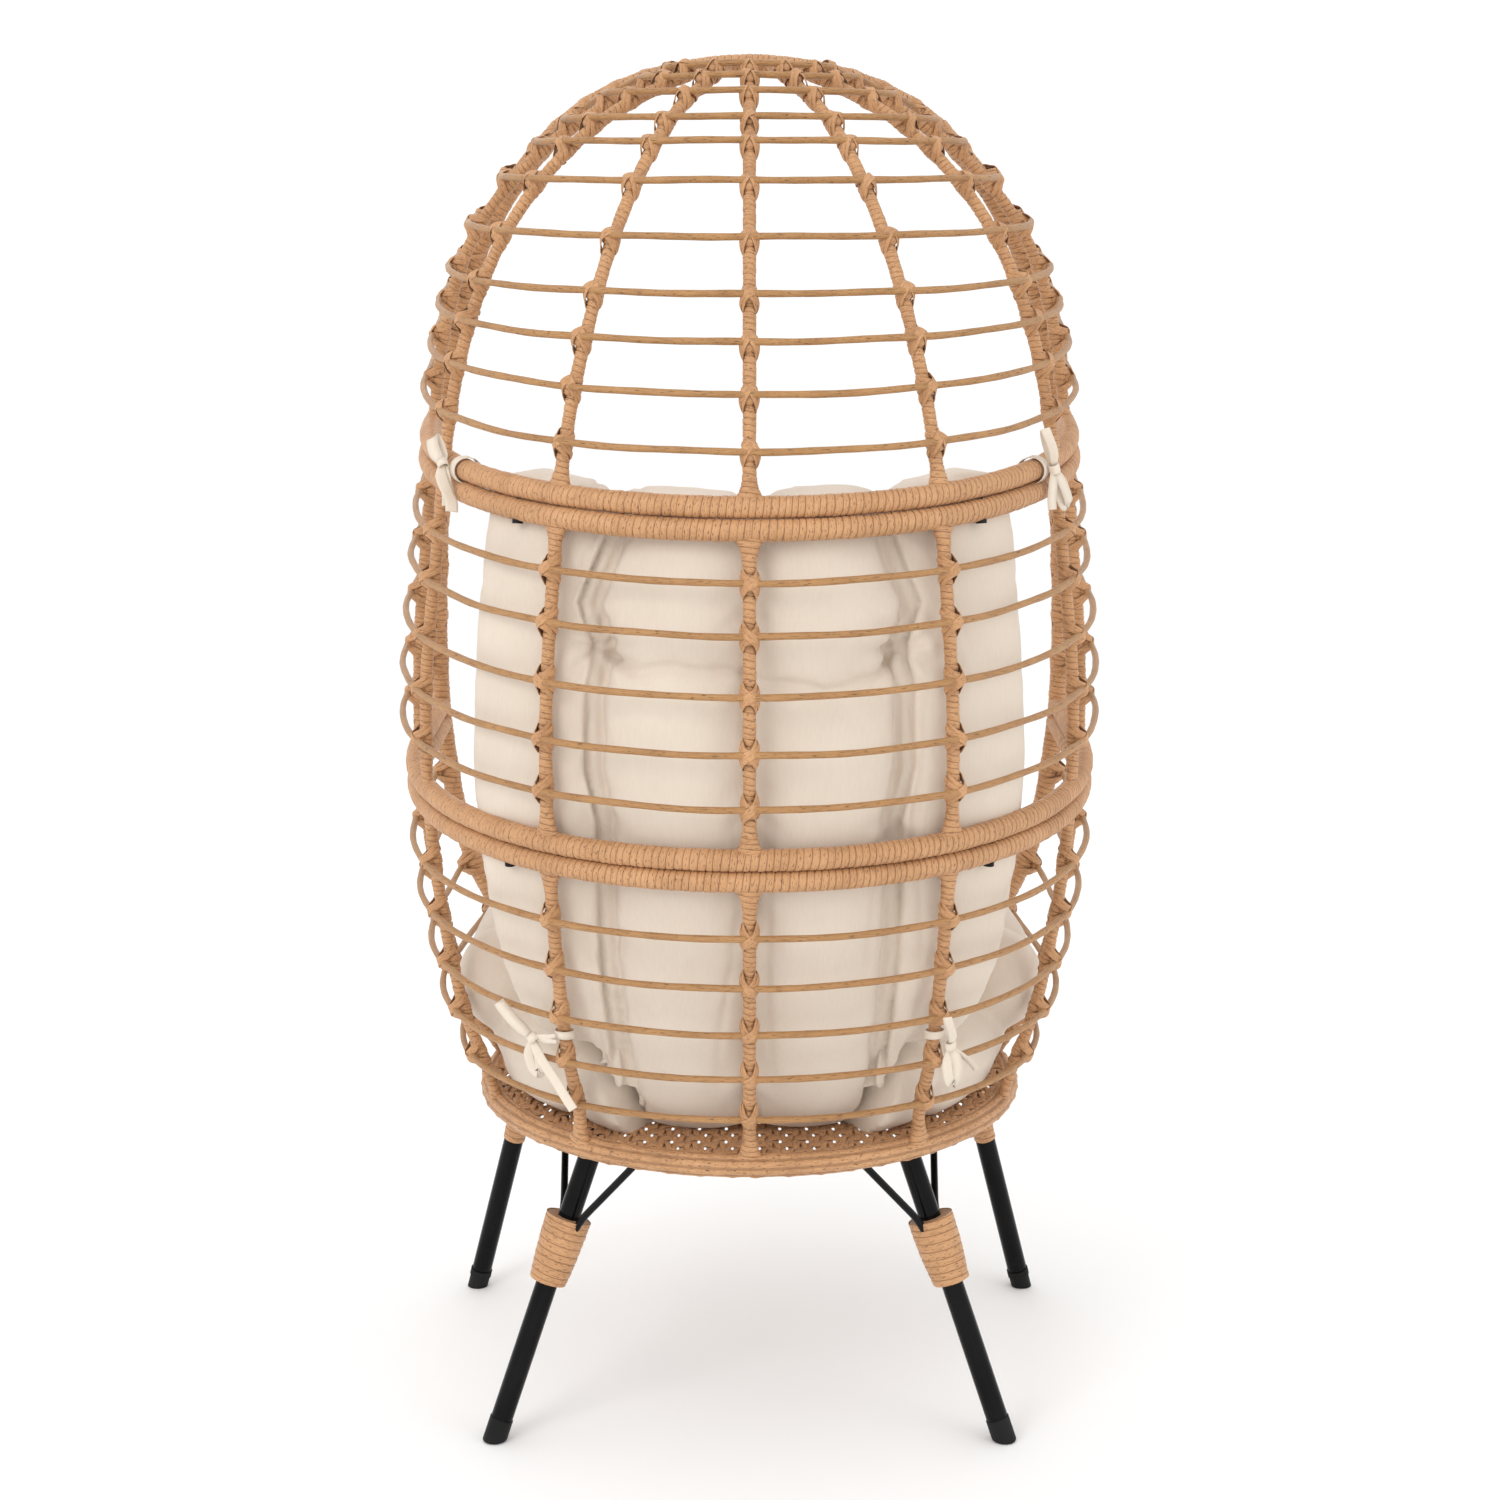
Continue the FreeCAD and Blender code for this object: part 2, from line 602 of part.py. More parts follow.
def tie(centre, axis, tube_radius, outward, reach, tail):
    """Band round a tube at a point, with a knot standing out from it and a tail hanging from the knot."""
    half = axis * (TIE_W / 2)
    band = straight(centre - half, centre + half, tube_radius + TIE_GAP + TIE_T)
    knot_at = centre + outward * reach
    bridge = straight(centre, knot_at, TIE_BRIDGE_R)
    room = straight(centre - half * 2, centre + half * 2, tube_radius + TIE_GAP)
    knot = Part.makeSphere(TIE_KNOT_R, knot_at)
    ribbon = Part.makeBox(TIE_W, TIE_T * 2, tail)
    ribbon.translate(knot_at + V(-TIE_W / 2, -TIE_T, -tail))
    return largest(band.fuse([bridge, knot, ribbon]).cut(room))


upper_t = station_at(dome_ring_z)
UPPER_TIE_ANGLE = 54.0
upper_at = shell_point(upper_t, UPPER_TIE_ANGLE)
upper_axis = (shell_point(upper_t, UPPER_TIE_ANGLE + 3) - shell_point(upper_t, UPPER_TIE_ANGLE - 3)).normalize()
upper_out = (shell_point(upper_t, UPPER_TIE_ANGLE, 10) - upper_at).normalize()
upper_tie = tie(upper_at, upper_axis, FRAME_R, upper_out, 24.0, 62.0)
ring_below = shell_point(station_at(band_top_z), UPPER_TIE_ANGLE)
upper_tie = largest(upper_tie.cut(straight(ring_below - upper_axis * 20, ring_below + upper_axis * 20, FRAME_R + 0.8)))
LOWER_TIE_Z = 475.0
lower_t = station_at(LOWER_TIE_Z)
lower_angle = hermite(STATIONS, lower_t)[5]
lower_at = shell_point(lower_t, lower_angle)
lower_axis = (shell_point(lower_t + 0.05, lower_angle) - shell_point(lower_t - 0.05, lower_angle)).normalize()
lower_out = (shell_point(lower_t, lower_angle, 10) - lower_at).normalize()
lower_tie = tie(lower_at, lower_axis, RIB_R, (lower_out + V(0.6, 0, 0)).normalize(), 36.0, 78.0)
keep("upper_right_tie", upper_tie)
keep("upper_left_tie", mirror(upper_tie))
keep("lower_right_tie", lower_tie)
keep("lower_left_tie", mirror(lower_tie))

# ---- write one file per node ----
os.makedirs("parts", exist_ok=True)
box = FreeCAD.BoundBox()
for name, solids in sorted(parts.items()):
    shape = solids[0] if len(solids) == 1 else Part.makeCompound(solids)
    shape.translate(V(0, BASE_Y, 0))
    bad = [s for s in solids if not s.isValid() or s.Volume < 1]
    if bad:
        print("check", name, len(bad))
    box.add(shape.BoundBox)
    shape.exportStep("parts/" + name + ".step")
print(len(parts), "nodes,", sum(len(s) for s in parts.values()), "solids; box", box)
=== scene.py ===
import math

import bpy
import numpy as np
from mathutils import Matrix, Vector


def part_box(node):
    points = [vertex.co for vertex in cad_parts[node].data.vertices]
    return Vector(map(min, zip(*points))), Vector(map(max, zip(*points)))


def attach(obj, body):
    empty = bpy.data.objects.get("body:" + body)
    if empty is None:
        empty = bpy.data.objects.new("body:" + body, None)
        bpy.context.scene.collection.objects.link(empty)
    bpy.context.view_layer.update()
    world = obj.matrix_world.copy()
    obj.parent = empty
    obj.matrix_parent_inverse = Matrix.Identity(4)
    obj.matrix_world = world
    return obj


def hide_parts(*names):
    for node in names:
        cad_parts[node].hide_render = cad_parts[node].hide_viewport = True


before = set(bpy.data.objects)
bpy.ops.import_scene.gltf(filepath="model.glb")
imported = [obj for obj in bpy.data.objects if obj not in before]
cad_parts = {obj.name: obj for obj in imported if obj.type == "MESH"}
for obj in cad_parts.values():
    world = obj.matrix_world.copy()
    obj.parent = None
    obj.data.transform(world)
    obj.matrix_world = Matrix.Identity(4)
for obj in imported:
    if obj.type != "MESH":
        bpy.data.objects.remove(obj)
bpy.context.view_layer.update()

# ------------------------------------------------------------------ shape of the shell
# Lengths are in millimetres round the centre of the base. BASE is that centre in the frame, in metres.
BASE = (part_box("base_ring")[0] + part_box("base_ring")[1]) / 2
MM = 0.001
RIB_R = 6.5               # outer radius of a wrapped rib
FRAME_R = 11.0            # outer radius of the wrapped rings and rims
BASE_RING_R = 12.5
CANE_R = 3.8
TOUCH_GAP = 0.3
CANE_GAP = 1.2            # strand between a cane and the tube it is bound to
BASE_RADIUS = 296.0
BASE_Z = 338.0
SECTION_POWER = 0.95      # below 1 the plan is a little squarer than an ellipse
CANE_OFFSET = RIB_R + CANE_R + CANE_GAP
CANE_RIM_OFFSET = FRAME_R + CANE_R + CANE_GAP
RING_STEP = FRAME_R + TOUCH_GAP / 2
UPPER_JOINT_Z = 1021.0
LOWER_JOINT_Z = 675.0
DOME_CANES = [1461, 1449, 1431, 1403, 1378, 1338, 1283, 1229, 1184, 1135, 1082]
BAND_CANES = [959, 908, 850, 794, 741]
BOWL_CANES = [607, 554, 500.5, 449, 400.5]
CROWN_Z = 1370.0          # canes above this end behind the rim instead of beside it
RIB_TOP_SPACING = 29.0

# Stations of the shell from the base up, as in the frame: back height, back offset, half width, depth,
# lean of the level, plan angles of the inner, middle and outer ribs.
STATIONS = np.array([
    (338.0, 296.0, 296.0, 296.0, 0.0, 36.5, 72.5, 104.0),
    (385.0, 304.0, 312.0, 311.0, 0.3, 34.0, 69.5, 95.0),
    (450.0, 328.0, 343.0, 369.0, 1.2, 32.5, 67.5, 91.0),
    (600.0, 366.0, 377.0, 455.0, 2.7, 31.0, 65.5, 88.5),
    (780.0, 382.0, 386.0, 490.0, 3.6, 31.0, 65.0, 90.0),
    (950.0, 362.0, 368.0, 472.0, 5.3, 31.0, 64.0, 90.5),
    (1100.0, 327.0, 351.0, 420.0, 6.9, 30.0, 63.0, 89.0),
    (1250.0, 251.0, 315.0, 316.0, 4.3, 27.0, 59.5, 88.0),
    (1350.0, 167.0, 254.0, 222.0, 2.2, 25.5, 57.5, 88.0),
    (1420.0, 81.0, 173.0, 132.0, 0.9, 25.0, 56.0, 88.0),
    (1462.0, 1.0, 82.0, 52.0, 0.3, 24.0, 52.0, 88.5),
    (1469.0, -32.0, 88.0, 34.0, 0.0, 21.0, 43.0, 88.0),
])

# Right half of the front rim from the crown down to the front of the base.
RIM_POINTS = np.array([
    (0, -98, 1478), (86, -101, 1469), (181, -112, 1433), (256, -136, 1364), (318, -176, 1265),
    (353, -220, 1156), (368, -250, 1048), (378, -268, 920), (383, -279, 780), (375, -286, 650),
    (352, -293, 535), (306, -301, 445), (227, -310, 383), (117, -318, 349), (0, -320.2, 338),
], float)


def hermite(rows, t):
    """Smooth curve through the rows at position t, counted in rows."""
    i = max(0, min(int(t), len(rows) - 2))
    u = t - i
    before, p, q, after = rows[max(i - 1, 0)], rows[i], rows[i + 1], rows[min(i + 2, len(rows) - 1)]
    tp, tq = (q - before) / 2, (after - p) / 2
    return (p * (2 * u**3 - 3 * u**2 + 1) + tp * (u**3 - 2 * u**2 + u)
            + q * (3 * u**2 - 2 * u**3) + tq * (u**3 - u**2))


def position_of(rows, column, value, sign):
    """Position along the rows where a steadily rising (sign 1) or falling (sign -1) column has a value."""
    low, high = 0.0, len(rows) - 1.0
    for _ in range(40):
        middle = (low + high) / 2
        if sign * hermite(rows, middle)[column] < sign * value:
            low = middle
        else:
            high = middle
    return (low + high) / 2


def station_at(height):
    return position_of(STATIONS, 0, height, 1)


def unit(v):
    return v / np.linalg.norm(v)


def level_point(t, angle, offset=0.0):
    """Point at station t and plan angle from the back (degrees), offset outwards within its level."""
    z, back, half_width, depth, lean = hermite(STATIONS, t)[:5]
    c, s = math.cos(math.radians(angle)), math.sin(math.radians(angle))
    x = half_width * math.copysign(abs(s)**SECTION_POWER, s)
    y = back - depth * (1 - math.copysign(abs(c)**SECTION_POWER, c))
    place = np.array((x, y, 0.0)) + unit(np.array((s / half_width, c / depth, 0.0))) * offset
    return place + np.array((0.0, 0.0, z + math.tan(math.radians(lean)) * (back - place[1])))


def shell_point(t, angle, offset=0.0):
    """Point of the shell at station t and plan angle, offset outwards square to the shell."""
    place = level_point(t, angle)
    if offset == 0:
        return place
    rise = unit(level_point(t + 0.05, angle) - level_point(t - 0.05, angle))
    outward = level_point(t, angle, 1.0) - place
    return place + unit(outward - rise * (outward @ rise)) * offset


def rim_side(height):
    """Direction from the rim to a cane bound to it: sideways on the posts, to the back on the crown."""
    u = rim_end(height)
    run = unit(hermite(RIM_POINTS, u + 0.05) - hermite(RIM_POINTS, u - 0.05))
    crown = min(max((height - 1340) / 50, 0), 1)
    aim = np.array((1.0, 0.0, 0.0)) * (1 - crown) + np.array((-0.1, 1.0, 0.0)) * crown
    return unit(aim - run * (run @ aim))


def rim_end(height):
    """Rim position where the level with the given height at the back meets the right half of the rim."""
    station = hermite(STATIONS, station_at(height))
    u = position_of(RIM_POINTS, 2, height, -1)
    for _ in range(8):
        rise = math.tan(math.radians(station[4])) * (station[1] - hermite(RIM_POINTS, u)[1])
        u = position_of(RIM_POINTS, 2, height + rise, -1)
    return u


def rib_angles(t):
    return [0.0] + list(hermite(STATIONS, t)[5:8])


def mirrored(p):
    return p * np.array((-1, 1, 1))


def level_path(height, offset=0.0, rim_offset=0.0, past_rim=0.0, per_bay=5):
    """Route of a level from the left rim round the back to the right rim."""
    t = station_at(height)
    ribs = rib_angles(t)
    right = [shell_point(t, a + (b - a) * k / per_bay, offset)
             for a, b in zip(ribs, ribs[1:]) for k in range(per_bay)]
    outer = shell_point(t, ribs[-1], offset)
    u = rim_end(height)
    end = hermite(RIM_POINTS, u) + rim_side(height) * rim_offset
    bays = max(1, round(np.linalg.norm(end - outer) / 55))
    right += [outer + (end - outer) * k / bays for k in range(bays)] + [end]
    if past_rim:
        right.append(end + (end - outer) / np.linalg.norm(end - outer) * past_rim)
    return np.array([mirrored(p) for p in reversed(right[1:])] + right)


def rib_path(rib, low, high, to_rim=False):
    """Route of a rib on the right side between two heights; rib 0 is the back one."""
    a, b = station_at(low), station_at(high)
    steps = max(3, round((b - a) * 2))
    places = [a + (b - a) * k / steps for k in range(steps + 1)]
    route = [shell_point(t, rib_angles(t)[rib]) for t in places]
    if to_rim:
        route.append(hermite(RIM_POINTS, RIB_TOP_SPACING * rib / RIM_POINTS[1][0]))
    return np.array(route)


def rim_route(first, last, both):
    steps = max(4, round((last - first) * 2))
    right = [hermite(RIM_POINTS, first + (last - first) * k / steps) for k in range(steps + 1)]
    if both and first == 0:
        right = [mirrored(p) for p in reversed(right[1:])] + right
    elif both:
        right = right + [mirrored(p) for p in reversed(right[:-1])]
    return np.array(right)


def to_frame(points):
    """From millimetres round the base centre to metres in the frame."""
    return np.asarray(points, float) * MM + np.array((BASE.x, BASE.y, 0.0))


# ------------------------------------------------------------------ curves as dense points with frames
def smooth(route, step=2.0):
    """Dense points, evenly spaced, on the smooth curve that the route's runs are tangent to."""
    p = np.asarray(route, float)
    mids = (p[1:-2] + p[2:-1]) / 2
    knots = np.vstack([p[:1], mids, p[-1:]])
    t = np.linspace(0, 1, 14, endpoint=False)[:, None]
    dense = [(1 - t)**2 * a + 2 * t * (1 - t) * c + t**2 * b for a, c, b in zip(knots, p[1:-1], knots[1:])]
    dense = np.vstack(dense + [p[-1:]])
    length = np.concatenate([[0], np.cumsum(np.linalg.norm(np.diff(dense, axis=0), axis=1))])
    count = max(4, int(round(length[-1] / step)))
    even = np.linspace(0, length[-1], count + 1)
    return np.column_stack([np.interp(even, length, dense[:, k]) for k in range(3)])


class Line:
    """A curve with a frame at any distance along it."""

    def __init__(self, points, closed=False):
        self.p = points
        self.s = np.concatenate([[0], np.cumsum(np.linalg.norm(np.diff(points, axis=0), axis=1))])
        tangent = np.gradient(points, self.s, axis=0)
        if closed:
            tangent[0] = tangent[-1] = (tangent[0] + tangent[-1]) / 2
        self.t = tangent / np.linalg.norm(tangent, axis=1)[:, None]
        start = np.array((0.0, 0.0, 1.0)) if abs(self.t[0][2]) < 0.8 else np.array((0.0, 1.0, 0.0))
        normal = start - self.t[0] * (start @ self.t[0])
        normals = [normal / np.linalg.norm(normal)]
        for t in self.t[1:]:
            n = normals[-1] - t * (normals[-1] @ t)
            normals.append(n / np.linalg.norm(n))
        self.n = np.array(normals)
        self.length = self.s[-1]

    def at(self, s):
        """Position, tangent, normal and binormal arrays at distances s."""
        s = np.clip(s, 0, self.length)
        p = np.stack([np.interp(s, self.s, self.p[:, k]) for k in range(3)], -1)
        t = np.stack([np.interp(s, self.s, self.t[:, k]) for k in range(3)], -1)
        t /= np.linalg.norm(t, axis=-1, keepdims=True)
        n = np.stack([np.interp(s, self.s, self.n[:, k]) for k in range(3)], -1)
        n -= t * np.sum(n * t, -1, keepdims=True)
        n /= np.linalg.norm(n, axis=-1, keepdims=True)
        return p, t, n, np.cross(t, n)

    def nearest(self, point):
        return self.s[np.argmin(np.linalg.norm(self.p - point, axis=1))]


# ------------------------------------------------------------------ mesh objects
def make_object(name, verts, faces, strand, material, replaces=()):
    mesh = bpy.data.meshes.new(name)
    mesh.from_pydata([tuple(v) for v in verts], [], [tuple(f) for f in faces])
    mesh.materials.append(material)
    attribute = mesh.attributes.new("strand", "FLOAT_VECTOR", "POINT")
    attribute.data.foreach_set("vector", np.asarray(strand, np.float32).ravel())
    mesh.polygons.foreach_set("use_smooth", [True] * len(mesh.polygons))
    mesh.update()
    obj = bpy.data.objects.new(name, mesh)
    bpy.context.scene.collection.objects.link(obj)
    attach(obj, "frame")
    if replaces:
        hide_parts(*replaces)
    return obj


class Build:
    """Collects vertices, faces and strand coordinates of several strips and tubes."""

    def __init__(self):
        self.v, self.f, self.a, self.count = [], [], [], 0

    def add(self, verts, faces, strand, ends=None):
        self.v.append(verts)
        self.a.append(strand)
        self.f.append(np.asarray(faces) + self.count)
        if ends is not None:
            self.f.append(np.asarray(ends) + self.count)
        self.count += len(verts)

    def make(self, name, material, replaces=()):
        verts = to_frame(np.vstack(self.v))
        faces = [tuple(q) for block in self.f for q in block.tolist()]
        return make_object(name, verts, faces, np.vstack(self.a), material, replaces)


WRAP_STEPS = np.array([0.0, 0.07, 0.2, 0.5, 0.8, 0.93])
AROUND = 18


def wrapped(build, line, radius, pitch=6.4, start=0.0, end=None, flare=(), bulges=(), taper=None, seed=0):
    """Flat strand wound in a helix round a line. flare is a list of (distance, direction, width) where the
    winding spreads into a joint, bulges the distances where it thickens under a knot."""
    r = np.random.default_rng(seed)
    end = line.length if end is None else end
    count = int((end - start) / pitch) + 3
    widths = pitch * r.uniform(0.78, 1.25, count + 4)
    edges = start - 1.2 * pitch + np.concatenate([[0], np.cumsum(widths)])
    wraps = int(np.searchsorted(edges, end + 1.2 * pitch))
    wraps = min(wraps, len(edges) - 2)
    phase = (np.arange(wraps)[:, None] + WRAP_STEPS[None, :]).ravel()
    rows = len(phase)
    theta = np.arange(AROUND) / AROUND
    tilt = 0.10 * np.sin(2 * math.pi * theta[None, :] + r.uniform(0, 6.28, wraps)[:, None])
    tilt *= r.uniform(0, 1, (wraps, 1))
    tilt = np.repeat(tilt, len(WRAP_STEPS), axis=0)
    turned = phase[:, None] - theta[None, :]
    fade = np.sin(math.pi * theta)[None, :]
    s = np.interp(turned + tilt * fade, np.arange(len(edges)), edges)
    s = np.clip(s, start, end)
    f = np.tile(WRAP_STEPS, wraps)
    lift = np.repeat(r.uniform(-0.22, 0.3, wraps), len(WRAP_STEPS))
    rise = np.where(f == 0, -0.75, np.where((f < 0.1) | (f > 0.9), -0.12, 0.18)) + 0.25 * (f - 0.5)
    rr = np.broadcast_to((radius + rise + lift)[:, None], s.shape).copy()
    for place in bulges:
        rr += 1.5 * np.exp(-((s - place) / 7.5)**2)
    if taper is not None:
        rr += taper(s)
    p, t, n, b = line.at(s)
    angle = 2 * math.pi * theta[None, :, None]
    out = n * np.cos(angle) + b * np.sin(angle)
    offset = out * rr[..., None]
    for place, direction, width in flare:
        d = direction - t * np.sum(t * direction, -1, keepdims=True)
        d /= np.linalg.norm(d, axis=-1, keepdims=True)
        spread = width * np.exp(-np.abs(s - place) / 9.0)
        across = np.sum(out * d, -1)
        offset += d * (np.sign(across) * np.abs(across)**1.5 * spread)[..., None]
    verts = (p + offset).reshape(-1, 3)
    circumference = 2 * math.pi * radius
    wrap_index = np.repeat(np.arange(wraps), len(WRAP_STEPS))
    along = (-wrap_index[:, None] + theta[None, :]) * circumference + r.uniform(0, 900)
    across = np.broadcast_to(f[:, None], along.shape)
    # Painted shade weight: full in the gap between neighbouring turns, a third near each turn's edges.
    edge = np.where(f == 0, 1.0, np.where((f < 0.1) | (f > 0.9), 0.35, 0.0))
    gap = np.broadcast_to(edge[:, None], along.shape)
    strand = np.stack([along, across * 6.0 + wrap_index[:, None] * 0.37, gap], -1).reshape(-1, 3)
    i, j = np.meshgrid(np.arange(len(WRAP_STEPS), rows - 1), np.arange(AROUND), indexing="ij")
    last = j == AROUND - 1
    j2 = (j + 1) % AROUND
    back = np.where(last, len(WRAP_STEPS), 0)
    a, b2 = i * AROUND + j, (i - back) * AROUND + j2
    c, d2 = (i + 1 - back) * AROUND + j2, (i + 1) * AROUND + j
    faces = np.stack([a, b2, c, d2], -1).reshape(-1, 4)
    span = s.reshape(-1)[faces]
    keep = (span.max(1) - span.min(1)) > 0.05
    build.add(verts, faces[keep], strand)


def strip(build, points, normals, width, thickness=1.1, seed=0, crown=0.5):
    """Flat strand along points, its broad side facing the normals, with a slightly crowned face."""
    r = np.random.default_rng(seed)
    p = np.asarray(points, float)
    tangent = np.gradient(p, axis=0)
    tangent /= np.linalg.norm(tangent, axis=1)[:, None]
    n = np.asarray(normals, float)
    n = n - tangent * np.sum(n * tangent, 1, keepdims=True)
    n /= np.linalg.norm(n, axis=1)[:, None]
    side = np.cross(tangent, n) * np.broadcast_to(width, len(p))[:, None]
    h = thickness / 2
    section = [(-0.5, -h), (-0.5, h * 0.3), (-0.32, h), (0.0, h + crown * 0.3),
               (0.32, h), (0.5, h * 0.3), (0.5, -h)]
    verts = np.stack([p + side * u + n * v for u, v in section], 1)
    m, k = len(p), len(section)
    length = np.concatenate([[0], np.cumsum(np.linalg.norm(np.diff(p, axis=0), axis=1))]) + r.uniform(0, 900)
    strand = np.zeros((m, k, 3))
    strand[..., 0] = length[:, None]
    strand[..., 1] = np.array([u for u, _ in section])[None, :] * 6.0 + r.uniform(0, 50)
    # Painted shade weight: highest on the strand's underside corners, half on its sides.
    strand[..., 2] = np.array([0.9, 0.45, 0.0, 0.0, 0.0, 0.45, 0.9])[None, :]
    i, j = np.meshgrid(np.arange(m - 1), np.arange(k), indexing="ij")
    j2 = (j + 1) % k
    faces = np.stack([i * k + j, i * k + j2, (i + 1) * k + j2, (i + 1) * k + j], -1).reshape(-1, 4)
    ends = np.array([np.arange(k), np.arange(m * k - 1, m * k - k - 1, -1)])
    build.add(verts.reshape(-1, 3), faces[:, ::-1], strand.reshape(-1, 3), ends)


def catmull(points, per=5):
    """Dense points through a few chosen ones."""
    p = np.asarray(points, float)
    return np.array([hermite(p, t) for t in np.linspace(0, len(p) - 1, per * (len(p) - 1) + 1)])


# ------------------------------------------------------------------ materials
def node_material(name):
    material = bpy.data.materials.new(name)
    material.use_nodes = True
    tree = material.node_tree
    shader = tree.nodes["Principled BSDF"]
    return material, tree, shader


def add_node(tree, kind, inputs=None, **props):
    node = tree.nodes.new(kind)
    for key, value in props.items():
        setattr(node, key, value)
    for key, value in (inputs or {}).items():
        if isinstance(value, bpy.types.NodeSocket):
            tree.links.new(value, node.inputs[key])
        else:
            node.inputs[key].default_value = value
    return node


def ramp(tree, fac, stops):
    node = add_node(tree, "ShaderNodeValToRGB", {"Fac": fac})
    elements = node.color_ramp.elements
    while len(elements) < len(stops):
        elements.new(0.5)
    for element, (place, colour) in zip(elements, stops):
        element.position = place
        element.color = (*colour, 1.0) if len(colour) == 3 else colour
    return node.outputs["Color"]


def grey(v):
    return (v, v, v)


def math_node(tree, operation, a, b=0.0, c=None, clamp=False):
    inputs = {0: a, 1: b}
    if c is not None:
        inputs[2] = c
    return add_node(tree, "ShaderNodeMath", inputs, operation=operation, use_clamp=clamp).outputs[0]


def mix_colour(tree, fac, a, b, blend="MIX"):
    node = add_node(tree, "ShaderNodeMix", data_type="RGBA", blend_type=blend)
    for socket, value in ((node.inputs[0], fac), (node.inputs[6], a), (node.inputs[7], b)):
        if isinstance(value, bpy.types.NodeSocket):
            tree.links.new(value, socket)
        else:
            socket.default_value = value
    return node.outputs[2]


def blend(tree, a, b, share):
    """Sum of two values, share of it from the second."""
    first = math_node(tree, "MULTIPLY", a, 1 - share)
    return math_node(tree, "ADD", first, math_node(tree, "MULTIPLY", b, share))


def noise_at(tree, place, scale, detail, **inputs):
    """Value of a noise texture at a place; scale is its frequency."""
    settings = {"Vector": place, "Scale": scale, "Detail": detail, **inputs}
    return add_node(tree, "ShaderNodeTexNoise", settings).outputs["Fac"]


def stretched(tree, parts, along, across):
    """Place on a strand, with its own scale along and across it."""
    axes = {0: math_node(tree, "MULTIPLY", parts[0], along), 1: math_node(tree, "MULTIPLY", parts[1], across)}
    return add_node(tree, "ShaderNodeCombineXYZ", axes).outputs[0]


def strand_material(name, light, mid, dark, fleck, gap):
    """Plastic strand: fine streaks along it, dark flecks, and painted shade in the gaps between neighbouring
    turns and on the strand edges.
    """
    material, tree, shader = node_material(name)
    read = add_node(tree, "ShaderNodeAttribute", attribute_name="strand")
    parts = add_node(tree, "ShaderNodeSeparateXYZ", {0: read.outputs["Vector"]}).outputs
    streak = noise_at(tree, stretched(tree, parts, 0.045, 0.9), 2.4, 5.0, Roughness=0.62)
    place = add_node(tree, "ShaderNodeTexCoord").outputs["Object"]
    cloud = noise_at(tree, place, 26.0, 2.0)
    tone = blend(tree, streak, cloud, 0.28)
    base = ramp(tree, tone, [(0.33, dark), (0.5, mid), (0.66, light)])
    spots = noise_at(tree, stretched(tree, parts, 0.11, 0.5), 1.9, 3.0, Roughness=0.55)
    spot_mask = ramp(tree, spots, [(0.585, grey(0)), (0.65, grey(1))])
    base = mix_colour(tree, math_node(tree, "MULTIPLY", spot_mask, 0.80), base, (*fleck, 1))
    # Painted shade: the gap colour is laid over the base where the third part of the strand attribute marks
    # gaps, edges and undersides.
    painted_gap_shade_mask = math_node(tree, "POWER", parts[2], 2.2, clamp=True)
    base = mix_colour(tree, math_node(tree, "MULTIPLY", painted_gap_shade_mask, 0.75), base, (*gap, 1))
    tree.links.new(base, shader.inputs["Base Color"])
    rough = ramp(tree, streak, [(0.3, grey(0.44)), (0.7, grey(0.60))])
    tree.links.new(rough, shader.inputs["Roughness"])
    shader.inputs["Specular IOR Level"].default_value = 0.42
    shader.inputs["Sheen Weight"].default_value = 0.08
    fine = math_node(tree, "SUBTRACT", math_node(tree, "MULTIPLY", streak, 1.0),
                     math_node(tree, "MULTIPLY", spot_mask, 0.25))
    bump = add_node(tree, "ShaderNodeBump", {"Strength": 0.35, "Distance": 0.0006, "Height": fine})
    tree.links.new(bump.outputs["Normal"], shader.inputs["Normal"])
    return material


def fabric_material(name, colour, shade, scale, bump_depth):
    """Plain woven cloth: crossed threads, faint slubs and a soft sheen."""
    material, tree, shader = node_material(name)
    place = add_node(tree, "ShaderNodeTexCoord").outputs["Object"]
    axes = add_node(tree, "ShaderNodeSeparateXYZ", {0: place}).outputs
    waves = []
    for axis in range(3):
        wave = math_node(tree, "SINE", math_node(tree, "MULTIPLY", axes[axis], scale))
        waves.append(wave)
    cross = math_node(tree, "MULTIPLY", math_node(tree, "ADD", waves[0], waves[1]), waves[2])
    slub_at = add_node(tree, "ShaderNodeMapping", {"Vector": place, "Scale": (1.0, 1.0, 0.16)}).outputs[0]
    slub = noise_at(tree, slub_at, 420.0, 3.0)
    cloud = noise_at(tree, place, 9.0, 3.0)
    mixed = blend(tree, slub, cloud, 0.7)
    base = ramp(tree, mixed, [(0.30, shade), (0.62, colour)])
    tree.links.new(base, shader.inputs["Base Color"])
    shader.inputs["Roughness"].default_value = 0.88
    shader.inputs["Sheen Weight"].default_value = 0.25
    shader.inputs["Sheen Roughness"].default_value = 0.5
    shader.inputs["Specular IOR Level"].default_value = 0.2
    height = math_node(tree, "ADD", math_node(tree, "MULTIPLY", cross, 0.25), slub)
    bump = add_node(tree, "ShaderNodeBump", {"Strength": 0.13, "Distance": bump_depth, "Height": height})
    tree.links.new(bump.outputs["Normal"], shader.inputs["Normal"])
    return material


